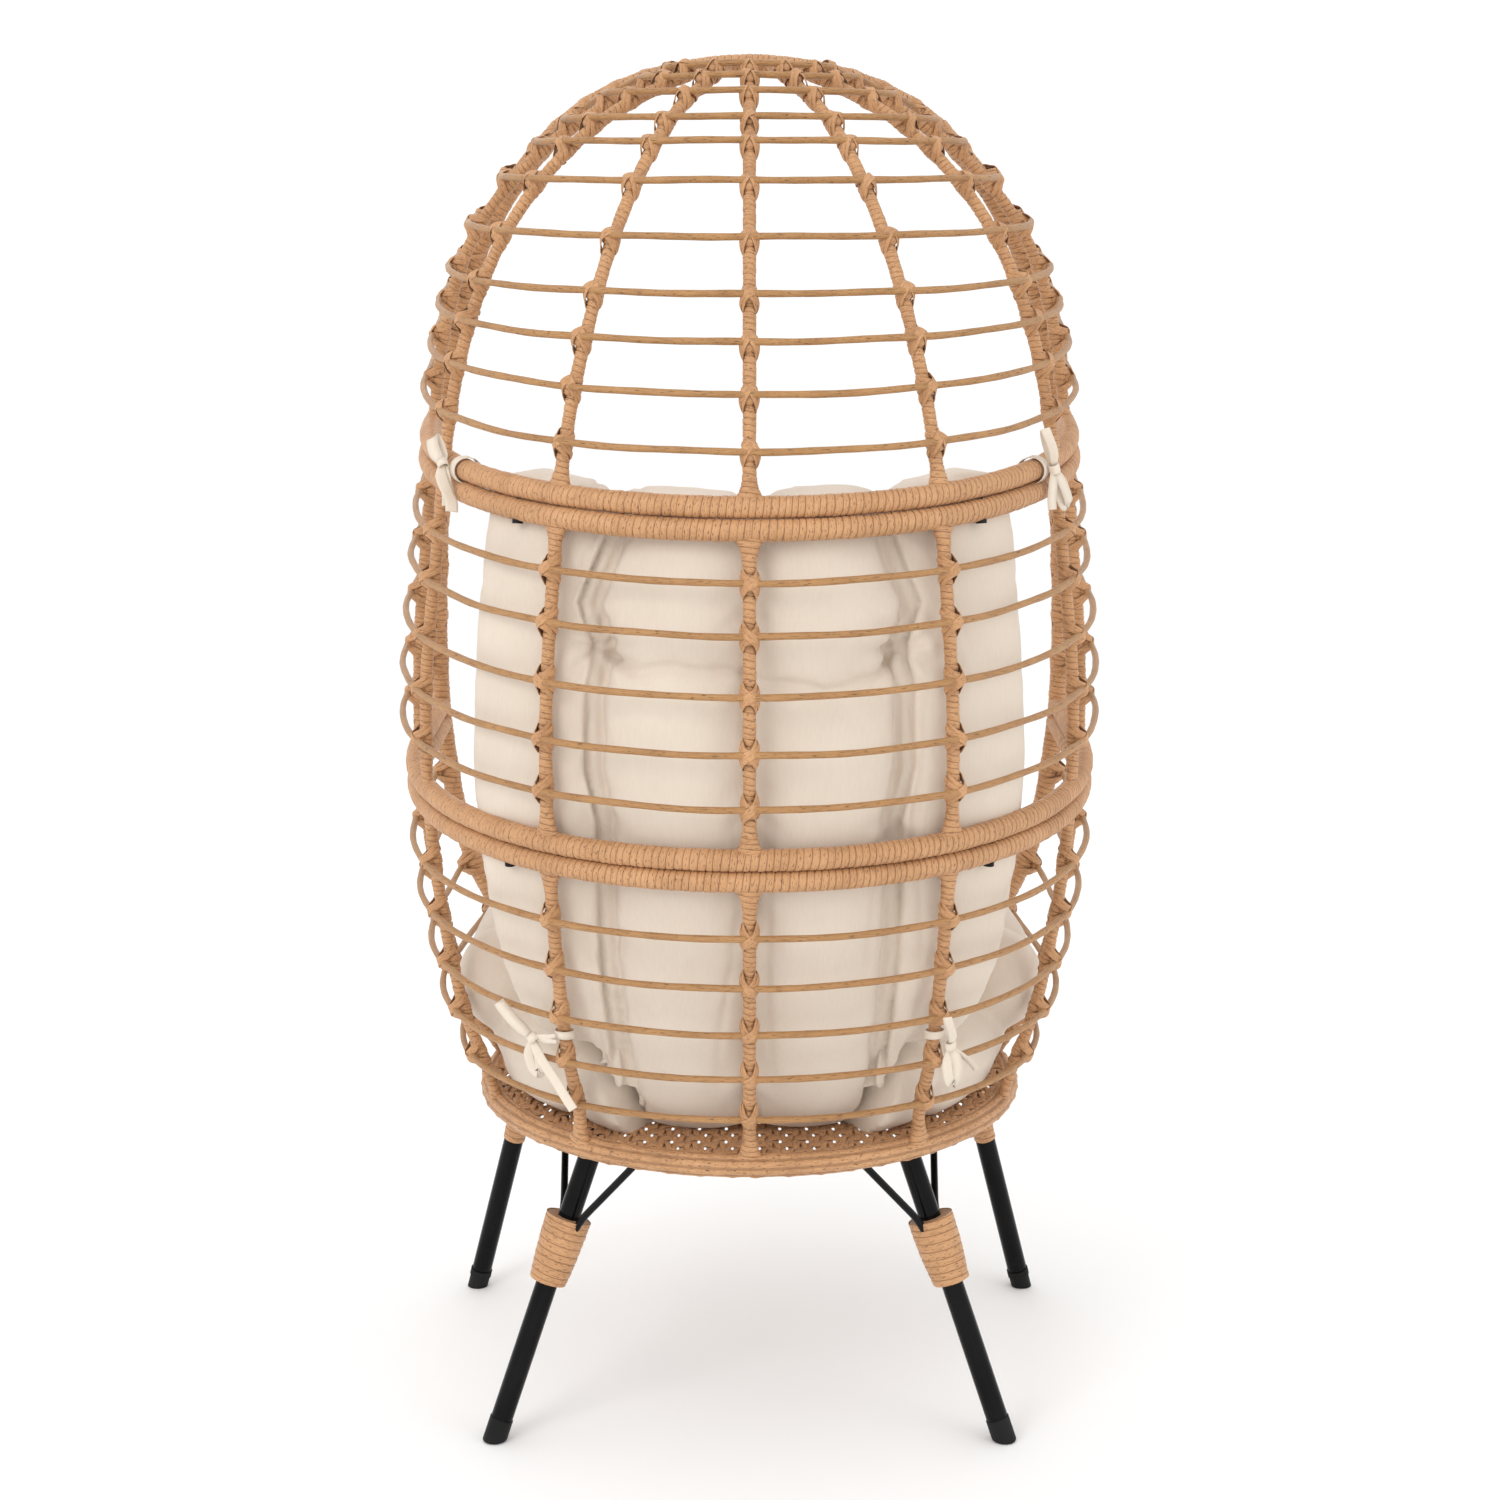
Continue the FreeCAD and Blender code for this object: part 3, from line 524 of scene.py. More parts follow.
def hard_material(name, dark, light, low, high, scale, metallic=0.0, coat=0.0, depth=0.0002):
    """Painted or moulded surface: faint mottling, uneven gloss and an orange peel bump."""
    material, tree, shader = node_material(name)
    place = add_node(tree, "ShaderNodeTexCoord").outputs["Object"]
    cloud = noise_at(tree, place, 18.0, 4.0)
    fine = noise_at(tree, place, scale, 2.0)
    tree.links.new(ramp(tree, cloud, [(0.35, dark), (0.7, light)]), shader.inputs["Base Color"])
    tree.links.new(ramp(tree, cloud, [(0.3, grey(low)), (0.7, grey(high))]), shader.inputs["Roughness"])
    shader.inputs["Metallic"].default_value = metallic
    shader.inputs["Specular IOR Level"].default_value = 0.1
    shader.inputs["Coat Weight"].default_value = coat
    shader.inputs["Coat Roughness"].default_value = 0.08
    bump = add_node(tree, "ShaderNodeBump", {"Strength": 0.2, "Distance": depth, "Height": fine})
    tree.links.new(bump.outputs["Normal"], shader.inputs["Normal"])
    return material


# The last colour of WICKER and CANE is painted shade for the gaps between turns and the strand edges.
WICKER = strand_material("wicker_strand", (0.65, 0.365, 0.178), (0.54, 0.285, 0.130), (0.36, 0.178, 0.075),
                         (0.085, 0.036, 0.016), (0.13, 0.056, 0.023))
CANE = strand_material("cane_rod", (0.49, 0.265, 0.105), (0.40, 0.205, 0.075), (0.27, 0.130, 0.045),
                       (0.065, 0.030, 0.013), (0.2, 0.1, 0.04))
CUSHION = fabric_material("cushion_cloth", (0.72, 0.63, 0.53), (0.66, 0.565, 0.47), 2600.0, 0.0004)
RIBBON = fabric_material("ribbon_tape", (0.76, 0.67, 0.56), (0.69, 0.60, 0.49), 4200.0, 0.0003)
BLACK = hard_material("black_powder_coat", (0.003, 0.003, 0.0034), (0.006, 0.006, 0.0066), 0.12, 0.2, 900.0,
                      coat=0.05)
BOLT = hard_material("black_oxide", (0.012, 0.012, 0.012), (0.03, 0.03, 0.03), 0.35, 0.5, 600.0, metallic=0.6)
RUBBER = hard_material("black_plastic", (0.012, 0.012, 0.012), (0.02, 0.02, 0.021), 0.42, 0.6, 1400.0)

for name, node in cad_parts.items():
    if "bolts" in name or "nuts" in name or "screws" in name:
        material = BOLT
    elif name.endswith(("_cap", "_pad", "_insert", "_foot_screw")):
        material = RUBBER
    else:
        material = BLACK
    node.data.materials.clear()
    node.data.materials.append(material)

# ------------------------------------------------------------------ wrapped tubes of the shell
dome_ring_z = UPPER_JOINT_Z + RING_STEP
band_top_z = UPPER_JOINT_Z - RING_STEP
band_bottom_z = LOWER_JOINT_Z + RING_STEP
bowl_ring_z = LOWER_JOINT_Z - RING_STEP


def seam_position(height):
    return (rim_end(height + FRAME_R) + rim_end(height - FRAME_R)) / 2


upper_seam = seam_position(UPPER_JOINT_Z)
lower_seam = seam_position(LOWER_JOINT_Z)
last_rim = len(RIM_POINTS) - 1.0
rim_lines = {
    "dome_rim": [Line(smooth(rim_route(0.0, upper_seam, True)))],
    "band_rim_right": [Line(smooth(rim_route(upper_seam, lower_seam, False)))],
    "bowl_rim": [Line(smooth(rim_route(lower_seam, last_rim, True)))],
}
rim_lines["band_rim_left"] = [Line(line.p * np.array((-1, 1, 1))) for line in rim_lines["band_rim_right"]]
ring_lines = {
    "dome_ring": Line(smooth(level_path(dome_ring_z))),
    "band_top_ring": Line(smooth(level_path(band_top_z))),
    "band_bottom_ring": Line(smooth(level_path(band_bottom_z))),
    "bowl_ring": Line(smooth(level_path(bowl_ring_z))),
}
circle = np.linspace(0, 2 * math.pi, 721)
base_line = Line(np.column_stack([BASE_RADIUS * np.sin(circle), BASE_RADIUS * np.cos(circle),
                                  np.full(721, BASE_Z)]), closed=True)

RIB_NAMES = ["rib_centre", "ribs_inner", "ribs_middle", "ribs_outer"]
SECTIONS = {
    "dome": (dome_ring_z, STATIONS[-1][0], True, DOME_CANES, "dome_ring", None),
    "band": (band_bottom_z, band_top_z, False, BAND_CANES, "band_bottom_ring", "band_top_ring"),
    "bowl": (BASE_Z, bowl_ring_z, False, BOWL_CANES, None, "bowl_ring"),
}
SEEDS = {"dome": 100, "band": 200, "bowl": 300}
rib_lines = {}
for section, (low, high, to_rim, canes, low_ring, high_ring) in SECTIONS.items():
    for index, rib in enumerate(RIB_NAMES):
        right = Line(smooth(rib_path(index, low, high, to_rim)))
        rib_lines[section, index] = [right] if index == 0 else [right, Line(right.p * np.array((-1, 1, 1)))]


def tangent_at(line, point):
    return line.at(np.array([line.nearest(point)]))[1][0]


crossings = {}
for section, (low, high, to_rim, canes, low_ring, high_ring) in SECTIONS.items():
    found = []
    for height in canes:
        t = station_at(height)
        for index, angle in enumerate(rib_angles(t)):
            place = shell_point(t, angle)
            for side, line in enumerate(rib_lines[section, index]):
                found.append((index, side, line.nearest(place if side == 0 else mirrored(place)), height))
    crossings[section] = found

for section, (low, high, to_rim, canes, low_ring, high_ring) in SECTIONS.items():
    for index, rib in enumerate(RIB_NAMES):
        build = Build()
        for side, line in enumerate(rib_lines[section, index]):
            places = [c[2] for c in crossings[section] if c[0] == index and c[1] == side]
            flare = []
            low_line = ring_lines[low_ring] if low_ring else base_line
            flare.append((FRAME_R - 2, tangent_at(low_line, line.p[0]), 8.0))
            if high_ring:
                flare.append((line.length - FRAME_R + 2, tangent_at(ring_lines[high_ring], line.p[-1]), 8.0))
            end = line.length - (FRAME_R * 0.6 if high_ring else 4.0)
            wrapped(build, line, RIB_R, start=FRAME_R * 0.6, end=end, flare=flare, bulges=places,
                    seed=SEEDS[section] + 10 * index + side)
        build.make(f"{section}_{rib}_wrap", WICKER, replaces=[f"{section}_{rib}"])

for name, line in ring_lines.items():
    build = Build()
    inside = FRAME_R * 0.5
    wrapped(build, line, FRAME_R, pitch=7.0, start=inside, end=line.length - inside, seed=len(name))
    build.make(name + "_wrap", WICKER, replaces=[name])

rim_crossings = []
for section, (low, high, to_rim, canes, low_ring, high_ring) in SECTIONS.items():
    for height in canes:
        rim_crossings.append((section, height, hermite(RIM_POINTS, rim_end(height))))
for name, lines in rim_lines.items():
    build = Build()
    for line in lines:
        places = []
        for section, height, place in rim_crossings:
            for point in (place, mirrored(place)):
                if name.startswith(section) and np.min(np.linalg.norm(line.p - point, axis=1)) < 5:
                    places.append(line.nearest(point))
        wrapped(build, line, FRAME_R, pitch=7.0, bulges=places, seed=len(name) + 3)
    build.make(name + "_wrap", WICKER, replaces=[name])

# ------------------------------------------------------------------ canes
CANE_AROUND = 12


def cane(build, line, seed):
    r = np.random.default_rng(seed)
    tip = np.array((0.0, 0.3, 1.0, 2.2))
    s = np.concatenate([tip, np.linspace(4, line.length - 4, int(line.length / 4)), line.length - tip[::-1]])
    p, t, n, b = line.at(s)
    drift = sum(a * np.sin(s[:, None] / w + ph) for a, w, ph in
                zip(r.uniform(0.1, 0.4, 3), (23.0, 41.0, 87.0), r.uniform(0, 6, (3, 1, 2))))
    p = p + n * drift[:, :1] + b * drift[:, 1:]
    radius = CANE_R - 0.2 + 0.15 * np.sin(s / 31.0 + r.uniform(0, 6)) + 0.1 * np.sin(s / 7.0)
    radius *= np.sqrt(np.clip(np.minimum(s, line.length - s) / 4, 0.01, 1))
    angle = np.arange(CANE_AROUND) / CANE_AROUND * 2 * math.pi
    out = n[:, None, :] * np.cos(angle)[None, :, None] + b[:, None, :] * np.sin(angle)[None, :, None]
    verts = p[:, None, :] + out * radius[:, None, None]
    strand = np.zeros(verts.shape)
    strand[..., 0] = s[:, None] * 0.55 + r.uniform(0, 900)
    strand[..., 1] = (angle * CANE_R * 0.8)[None, :] + r.uniform(0, 90)
    m, k = len(s), CANE_AROUND
    i, j = np.meshgrid(np.arange(m - 1), np.arange(k), indexing="ij")
    j2 = (j + 1) % k
    faces = np.stack([i * k + j, i * k + j2, (i + 1) * k + j2, (i + 1) * k + j], -1).reshape(-1, 4)
    ends = np.array([np.arange(k)[::-1], np.arange(k) + (m - 1) * k])
    build.add(verts.reshape(-1, 3), faces, strand.reshape(-1, 3), ends)


def past_rim(height):
    return 9.0 if height < CROWN_Z else 3.0


cane_lines = {}
for section, (low, high, to_rim, canes, low_ring, high_ring) in SECTIONS.items():
    build = Build()
    for k, height in enumerate(canes):
        line = Line(smooth(level_path(height, CANE_OFFSET, CANE_RIM_OFFSET, past_rim(height))))
        cane_lines[section, height] = line
        cane(build, line, seed=SEEDS[section] + k)
    build.make(section + "_cane_rods", CANE, replaces=[section + "_canes"])

# ------------------------------------------------------------------ knots where canes cross ribs and rims
# Route of one binding strand (across, along the tube, out), in tube radii of a rib, then over the cane.
CROSS = [(3, -14, -5), (-5, -13.5, -3), (-7.8, -11, 2), (-7.2, -7, 8), (-4.6, -3.5, 14.3), (0, 0, 16.3),
         (4.6, 3.5, 14.3), (7.2, 7, 8), (7.8, 11, 2), (5, 13.5, -3), (-3, 14, -5)]
CHEVRON = [(4, 13, -4), (6.6, 12, 2), (4, 9.5, 8), (-1, 6, 13.5), (-4.6, 1, 15.5), (-7.4, -5, 9.5),
           (-7.8, -9, 3), (-5.5, -12.5, -3), (0, -13.5, -5)]
STRAND_W = 5.4


def packing(build, centre, side, up, out, radius, low, seed):
    """Bundle of strand under a knot, between the tube and the cane."""
    r = np.random.default_rng(seed)
    turn = np.linspace(0, 2 * math.pi, 17)[:-1]
    rise = np.linspace(-1, 1, 9)[:, None]
    round_off = np.sqrt(1.0 - 0.98 * rise**2)
    x = (radius + 1.4) * round_off * np.cos(turn)
    z = radius + 1.2 + 6.0 * round_off * np.sin(turn)
    y = np.broadcast_to(low + 8.0 * rise, x.shape)
    place = centre + side * x[..., None] + up * y[..., None] + out * z[..., None]
    # The third part is a painted shade weight of 0.35 over the whole bundle under the knot.
    strand = np.stack([np.broadcast_to(turn * radius, x.shape) + r.uniform(0, 900), y * 1.4,
                       np.full(x.shape, 0.35)], -1)
    i, j = np.meshgrid(np.arange(8), np.arange(16), indexing="ij")
    j2 = (j + 1) % 16
    faces = np.stack([i * 16 + j, i * 16 + j2, (i + 1) * 16 + j2, (i + 1) * 16 + j], -1).reshape(-1, 4)
    caps = np.array([np.arange(16)[::-1], np.arange(16) + 8 * 16])
    build.add(place.reshape(-1, 3), faces, strand.reshape(-1, 3), caps)


def knot(build, centre, out, up, radius, style, seed):
    """Two pairs of flat strands that bind a cane to the tube behind it."""
    r = np.random.default_rng(seed)
    side = np.cross(up, out)
    grow = radius / RIB_R
    packing(build, centre, side, up, out, radius, 0.0 if style == "cross" else -1.0, seed)
    lean = r.uniform(-0.12, 0.12)
    shape = np.array(CROSS if style == "cross" else CHEVRON, float)
    flip = -1 if style == "cross" and seed % 5 == 0 else 1
    for hand, depth in ((flip, 0.0), (-flip, -1.0)):
        for shift in (-2.4, 2.4):
            local = catmull(shape, 3) * np.array((hand, 1.0, 1.0))
            run = np.gradient(local, axis=0)
            run /= np.linalg.norm(run, axis=1)[:, None]
            away = local * np.array((1.0, 0.25, 1.0))
            away /= np.linalg.norm(away, axis=1)[:, None]
            local = local + np.cross(run, away) * shift
            over = np.clip((local[:, 2] - 5) / 4, 0, 1)
            x = local[:, 0] * (grow + (1 - grow) * over * 0.4) * r.uniform(0.96, 1.05)
            y = local[:, 1] * r.uniform(0.93, 1.06) + lean * local[:, 0]
            z = local[:, 2] * grow * (1 - over) + (local[:, 2] + radius - RIB_R) * over
            z += depth * (0.5 + 0.5 * over)
            points = centre + side * x[:, None] + up * y[:, None] + out * z[:, None]
            away = side * away[:, :1] + up * away[:, 1:2] * 0.3 + out * away[:, 2:]
            strip(build, points, away, STRAND_W, 1.1, seed=seed * 7 + int(shift * 3) + hand)


for section, (low, high, to_rim, canes, low_ring, high_ring) in SECTIONS.items():
    build = Build()
    number = 0
    for height in canes:
        line = cane_lines[section, height]
        for index, side, place, at_height in crossings[section]:
            if at_height != height:
                continue
            centre, up, _, _ = (a[0] for a in rib_lines[section, index][side].at(np.array([place])))
            near = line.p[np.argmin(np.linalg.norm(line.p - centre, axis=1))]
            out = near - centre
            out = out - up * (out @ up)
            out /= np.linalg.norm(out)
            up = up if up[2] >= 0 else -up
            number += 1
            style = "chevron" if section == "dome" and number % 4 else "cross"
            knot(build, centre, out, up, RIB_R, style, number + SEEDS[section] * 10)
        for hand in (1, -1):
            centre = hermite(RIM_POINTS, rim_end(height)) * np.array((hand, 1, 1))
            rim = min((l for ls in rim_lines.values() for l in ls),
                      key=lambda l: np.min(np.linalg.norm(l.p - centre, axis=1)))
            up = tangent_at(rim, centre)
            up = up if up[2] >= 0 else -up
            out = rim_side(height) * np.array((hand, 1, 1))
            number += 1
            seed = number + SEEDS[section] * 10
            if height < CROWN_Z:
                knot(build, centre, out, up, FRAME_R, "cross", seed)
            else:
                knot(build, centre + out * (FRAME_R - RIB_R), out, up, RIB_R, "chevron", seed)
    build.make(section + "_knots", WICKER)

# ------------------------------------------------------------------ base edge: strands woven along the ring
MINOR, ROWS, MAJOR = 64, 8, 960
CROSS_EVERY = 34


def base_edge():
    minor = np.arange(MINOR) / MINOR
    major = np.arange(MAJOR) / MAJOR
    row = minor * ROWS
    row_index = np.floor(row).astype(int)
    f = row - row_index
    profile = np.where((f < 0.13) | (f > 0.87), -0.8, 0.35 * np.sin(math.pi * f))
    arc = major * 2 * math.pi * BASE_RADIUS
    wobble = 0.5 * np.sin(arc[:, None] / 17.0 + row_index[None, :] * 1.7)
    wobble += 0.35 * np.sin(arc[:, None] / 7.3 + row_index[None, :] * 2.9)
    cell = (arc[:, None] + row_index[None, :] % 2 * CROSS_EVERY / 2) / CROSS_EVERY
    g = cell - np.floor(cell)
    over = np.exp(-((g - 0.5) / 0.11)**2)
    rr = BASE_RING_R - 0.2 + profile[None, :] + wobble * 0.5 + over * 0.9
    angle = minor * 2 * math.pi
    flat = 1.0 + 0.06 * np.cos(2 * angle)
    a = major * 2 * math.pi
    radial = BASE_RADIUS + rr * np.cos(angle)[None, :] * flat[None, :]
    verts = np.stack([radial * np.sin(a)[:, None], radial * np.cos(a)[:, None],
                      BASE_Z + rr * np.sin(angle)[None, :]], -1)
    # Painted shade weight: 0.75 in the grooves between rows, 0.55 in narrow lines on each side of every
    # crossing.
    edge = np.where((f < 0.13) | (f > 0.87), 0.75, 0.0)[None, :]
    strand = np.stack([np.broadcast_to(arc[:, None] + row_index[None, :] * 77, rr.shape),
                       np.broadcast_to(row[None, :] * 6.0, rr.shape),
                       np.maximum(edge, 0.55 * np.exp(-((np.abs(g - 0.5) - 0.17) / 0.035)**2))], -1)
    i, j = np.meshgrid(np.arange(MAJOR), np.arange(MINOR), indexing="ij")
    i2, j2 = (i + 1) % MAJOR, (j + 1) % MINOR
    faces = np.stack([i * MINOR + j, i * MINOR + j2, i2 * MINOR + j2, i2 * MINOR + j], -1).reshape(-1, 4)
    build = Build()
    build.add(verts.reshape(-1, 3), faces[:, ::-1], strand.reshape(-1, 3))
    build.make("base_ring_weave", WICKER, replaces=["base_ring"])


base_edge()

# ------------------------------------------------------------------ woven seat panel
WEAVE_Z = BASE_Z + 9.0
PANEL_R = BASE_RADIUS - 4.0
ROW_PITCH = 20.0
FINE_PITCH = 7.2


def woven_panel():
    build = Build()
    up = np.array((0.0, 0.0, 1.0))
    rows = int(PANEL_R / ROW_PITCH)
    for k in range(-rows, rows + 1):
        y = k * ROW_PITCH
        half = math.sqrt(max(PANEL_R**2 - y**2, 0))
        if half < 20:
            continue
        x = np.arange(-half, half, 3.6)
        z = WEAVE_Z + 1.3 * np.cos(math.pi * x / (2 * FINE_PITCH) + k * math.pi)
        points = np.column_stack([x, np.full_like(x, y) + 0.6 * np.sin(x / 37.0 + k), z])
        strip(build, points, np.repeat(up[None], len(x), 0), 15.0, 1.0, seed=k + 400)
    fine = int(PANEL_R / FINE_PITCH)
    for j in range(-fine, fine + 1):
        x0 = j * FINE_PITCH
        half = math.sqrt(max(PANEL_R**2 - x0**2, 0))
        if half < 20:
            continue
        y = np.arange(-half, half, 4.0)
        sway = 1.35 * (-1)**j * np.sin(math.pi * y / ROW_PITCH)
        pair = (-1)**((j // 2) % 2)
        z = WEAVE_Z - pair * 1.7 * np.cos(math.pi * y / ROW_PITCH)
        points = np.column_stack([x0 + sway, y, z])
        strip(build, points, np.repeat(up[None], len(y), 0), 6.2, 1.0, seed=j + 700)
    build.make("seat_weave_strands", WICKER, replaces=["seat_weave"])


woven_panel()

# ------------------------------------------------------------------ wrapped collars round the legs
def axis_of(node):
    """Lowest and highest centre of a slanted straight tube, in millimetres round the base."""
    co = np.array([v.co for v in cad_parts[node].data.vertices])
    ends = []
    for pick in (co[:, 2].min(), co[:, 2].max()):
        near = co[np.abs(co[:, 2] - pick) < 0.012]
        ends.append(near.mean(0))
    return [(e - np.array((BASE.x, BASE.y, 0.0))) / MM for e in ends]


def sleeve(build, low, high, radius_low, radius_high, bore, seed):
    """Wrapped conical sleeve between two points on an axis, with flat ends down to the bore."""
    length = np.linalg.norm(high - low)
    line = Line(low + (high - low) * np.linspace(0, 1, 41)[:, None])

    def rise(s):
        return (s / length) * (radius_high - radius_low) + 1.2 * np.sin(np.clip(s / length, 0, 1) * math.pi)

    wrapped(build, line, radius_low - 0.4, pitch=7.5, taper=rise, seed=seed)
    turn = np.arange(32) / 32 * 2 * math.pi
    for s_end, face in ((0.8, 1), (length - 0.8, -1)):
        p, t, n, b = (a[0] for a in line.at(np.array([s_end])))
        outer = radius_low - 0.9 + float(rise(s_end))
        rings = [p + (n * math.cos(a) + b * math.sin(a)) * r for r in (outer, bore) for a in turn]
        faces = [(k, (k + 1) % 32, 32 + (k + 1) % 32, 32 + k)[::face] for k in range(32)]
        strand = np.zeros((64, 3))
        strand[:, 0] = np.tile(turn * 22, 2)
        # Painted shade weight of 0.5 on the flat ends of the sleeve.
        strand[:, 2] = 0.5
        build.add(np.array(rings), np.array(faces), strand)


def leg_axis(place, hand):
    low, high = axis_of(f"{place}_{hand}_leg")
    return low, (high - low) / np.linalg.norm(high - low)


COLLAR_LOW_R = 20.5
COLLAR_HIGH_R = 25.5
COLLAR_LENGTH = 74.0
SOCKET_R = 13.6
LEG_R = 12.0
for number, hand in enumerate(("right", "left")):
    node = f"rear_{hand}_collar"
    foot, direction = leg_axis("rear", hand)
    centre = sum(axis_of(node)) / 2
    middle = foot + direction * ((centre - foot) @ direction)
    half = direction * COLLAR_LENGTH / 2
    build = Build()
    sleeve(build, middle - half, middle + half, COLLAR_LOW_R, COLLAR_HIGH_R, LEG_R + 0.1, 60 + number)
    build.make(f"{node}_wrap", WICKER, replaces=[node])

socket_low, socket_high = (corner.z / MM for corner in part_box("front_leg_sockets"))
build = Build()
for number, hand in enumerate(("right", "left")):
    foot, direction = leg_axis("front", hand)
    ends = [foot + direction * ((z - foot[2]) / direction[2]) for z in (socket_low + 3, socket_high)]
    sleeve(build, ends[0], ends[1], SOCKET_R, SOCKET_R, LEG_R + 0.1, 70 + number)
build.make("front_socket_wraps", WICKER, replaces=["front_leg_sockets"])


# ------------------------------------------------------------------ cushions
def soft_copy(node, name, voxel):
    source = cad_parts[node]
    mesh = source.data.copy()
    obj = bpy.data.objects.new(name, mesh)
    bpy.context.scene.collection.objects.link(obj)
    bpy.context.view_layer.objects.active = obj
    weld = obj.modifiers.new("weld", "WELD")
    weld.merge_threshold = 0.0002
    remesh = obj.modifiers.new("remesh", "REMESH")
    remesh.mode = "VOXEL"
    remesh.voxel_size = voxel
    bake_modifiers(obj)
    return obj


def bake_modifiers(obj):
    graph = bpy.context.evaluated_depsgraph_get()
    mesh = bpy.data.meshes.new_from_object(obj.evaluated_get(graph))
    obj.modifiers.clear()
    obj.data = mesh


def coords(obj):
    co = np.empty(len(obj.data.vertices) * 3)
    obj.data.vertices.foreach_get("co", co)
    return co.reshape(-1, 3)


def set_coords(obj, co):
    obj.data.vertices.foreach_set("co", co.ravel())
    obj.data.update()


def inflate(obj, pinned, pressure, frames, cap):
    """Blows the cloth up for a few frames with some points held, and limits how far any point goes."""
    rest = coords(obj)
    group = obj.vertex_groups.new(name="held")
    for weight in np.unique(np.round(pinned, 1)):
        if weight > 0:
            chosen = np.nonzero(np.round(pinned, 1) == weight)[0].tolist()
            group.add(chosen, float(weight), "REPLACE")
    cloth = obj.modifiers.new("cloth", "CLOTH")
    settings = cloth.settings
    settings.quality = 5
    settings.mass = 0.25
    settings.tension_stiffness = 12
    settings.compression_stiffness = 12
    settings.shear_stiffness = 6
    settings.bending_stiffness = 0.6
    settings.use_pressure = True
    settings.uniform_pressure_force = pressure
    settings.vertex_group_mass = "held"
    settings.effector_weights.gravity = 0.0
    cloth.collision_settings.use_collision = False
    scene = bpy.context.scene
    for number in range(1, frames + 1):
        scene.frame_set(number)
    bake_modifiers(obj)
    scene.frame_set(1)
    move = coords(obj) - rest
    far = np.linalg.norm(move, axis=1)
    limit = np.minimum(1.0, cap / np.maximum(far, 1e-9))
    set_coords(obj, rest + move * limit[:, None])


CENTRE = np.array((BASE.x, BASE.y, 0.0))
# Height and distance from the middle of the outer seams of the back cushion.
SEAM_ROUTE = ((400, 136), (560, 150), (710, 150), (765, 162), (850, 160), (890, 152), (930, 168), (1000, 138),
              (1060, 130))
# The cross seam of the two middle columns, as distance from the middle and height.
TUFT_ROUTE = ((-155, 890), (-125, 860), (-75, 850), (-20, 860), (30, 870), (75, 873), (115, 867), (150, 887))
TUFT_X = 152.0
TUFT_Z = 886.0                         # where the cross seam meets the outer seams


def normals_of(obj):
    normals = np.empty(len(obj.data.vertices) * 3)
    obj.data.vertices.foreach_get("normal", normals)
    return normals.reshape(-1, 3)


def dent(local, normals, depth):
    """Moves the points inwards along their normals by depth, in millimetres."""
    return local - normals * depth[:, None]


def seam_distance(local):
    """Distance from the nearest seam between columns, measured across the cushion, and which seam it is."""
    reach = np.interp(local[:, 2], *zip(*SEAM_ROUTE))
    middle = 5.0 * np.sin(local[:, 2] / 60.0)
    gaps = np.abs(local[:, :1] - np.stack([-reach, middle, reach], 1))
    return gaps.min(1), gaps.argmin(1)


def bump(distance, width):
    return np.exp(-(distance / width)**2)


def tuft_line(x):
    """Height of the cross seam of the two middle columns."""
    return np.interp(x, *zip(*TUFT_ROUTE)) + 1.5 * np.sin(x / 11.0)


def back_cushion():
    obj = soft_copy("back_cushion", "back_cushion_cover", 0.0055)
    local = (coords(obj) - CENTRE) / MM
    gap, seam = seam_distance(local)
    side = np.abs(normals_of(obj)[:, 2]) < 0.8
    strength = np.where(seam == 1, 0.8, 1.0) * np.where(side, 1.0, 0.6)
    local = dent(local, normals_of(obj), strength * (20.0 * bump(gap, 8.0) + 10.0 * bump(gap, 34.0)))
    inner = np.clip((165.0 - np.abs(local[:, 0])) / 20.0, 0, 1)
    tuft = np.abs(local[:, 2] - tuft_line(local[:, 0]))
    local = dent(local, normals_of(obj), inner * (7.0 * bump(tuft, 7.0) + 6.0 * bump(tuft, 28.0)))
    for x in (-TUFT_X, TUFT_X):
        reach = np.hypot(local[:, 0] - x, local[:, 2] - TUFT_Z)
        local = dent(local, normals_of(obj), 14.0 * bump(reach, 17.0))
    set_coords(obj, local * MM + CENTRE)
    held = np.clip(bump(gap, 9.0) * 1.2 - 0.2, 0, 1) + 0.8 * inner * bump(tuft, 6.0)
    inflate(obj, np.clip(held, 0, 1), 4.0, 14, 0.016)
    smooth_object(obj)
    pucker(obj)
    finish_soft(obj, CUSHION, "back_cushion")


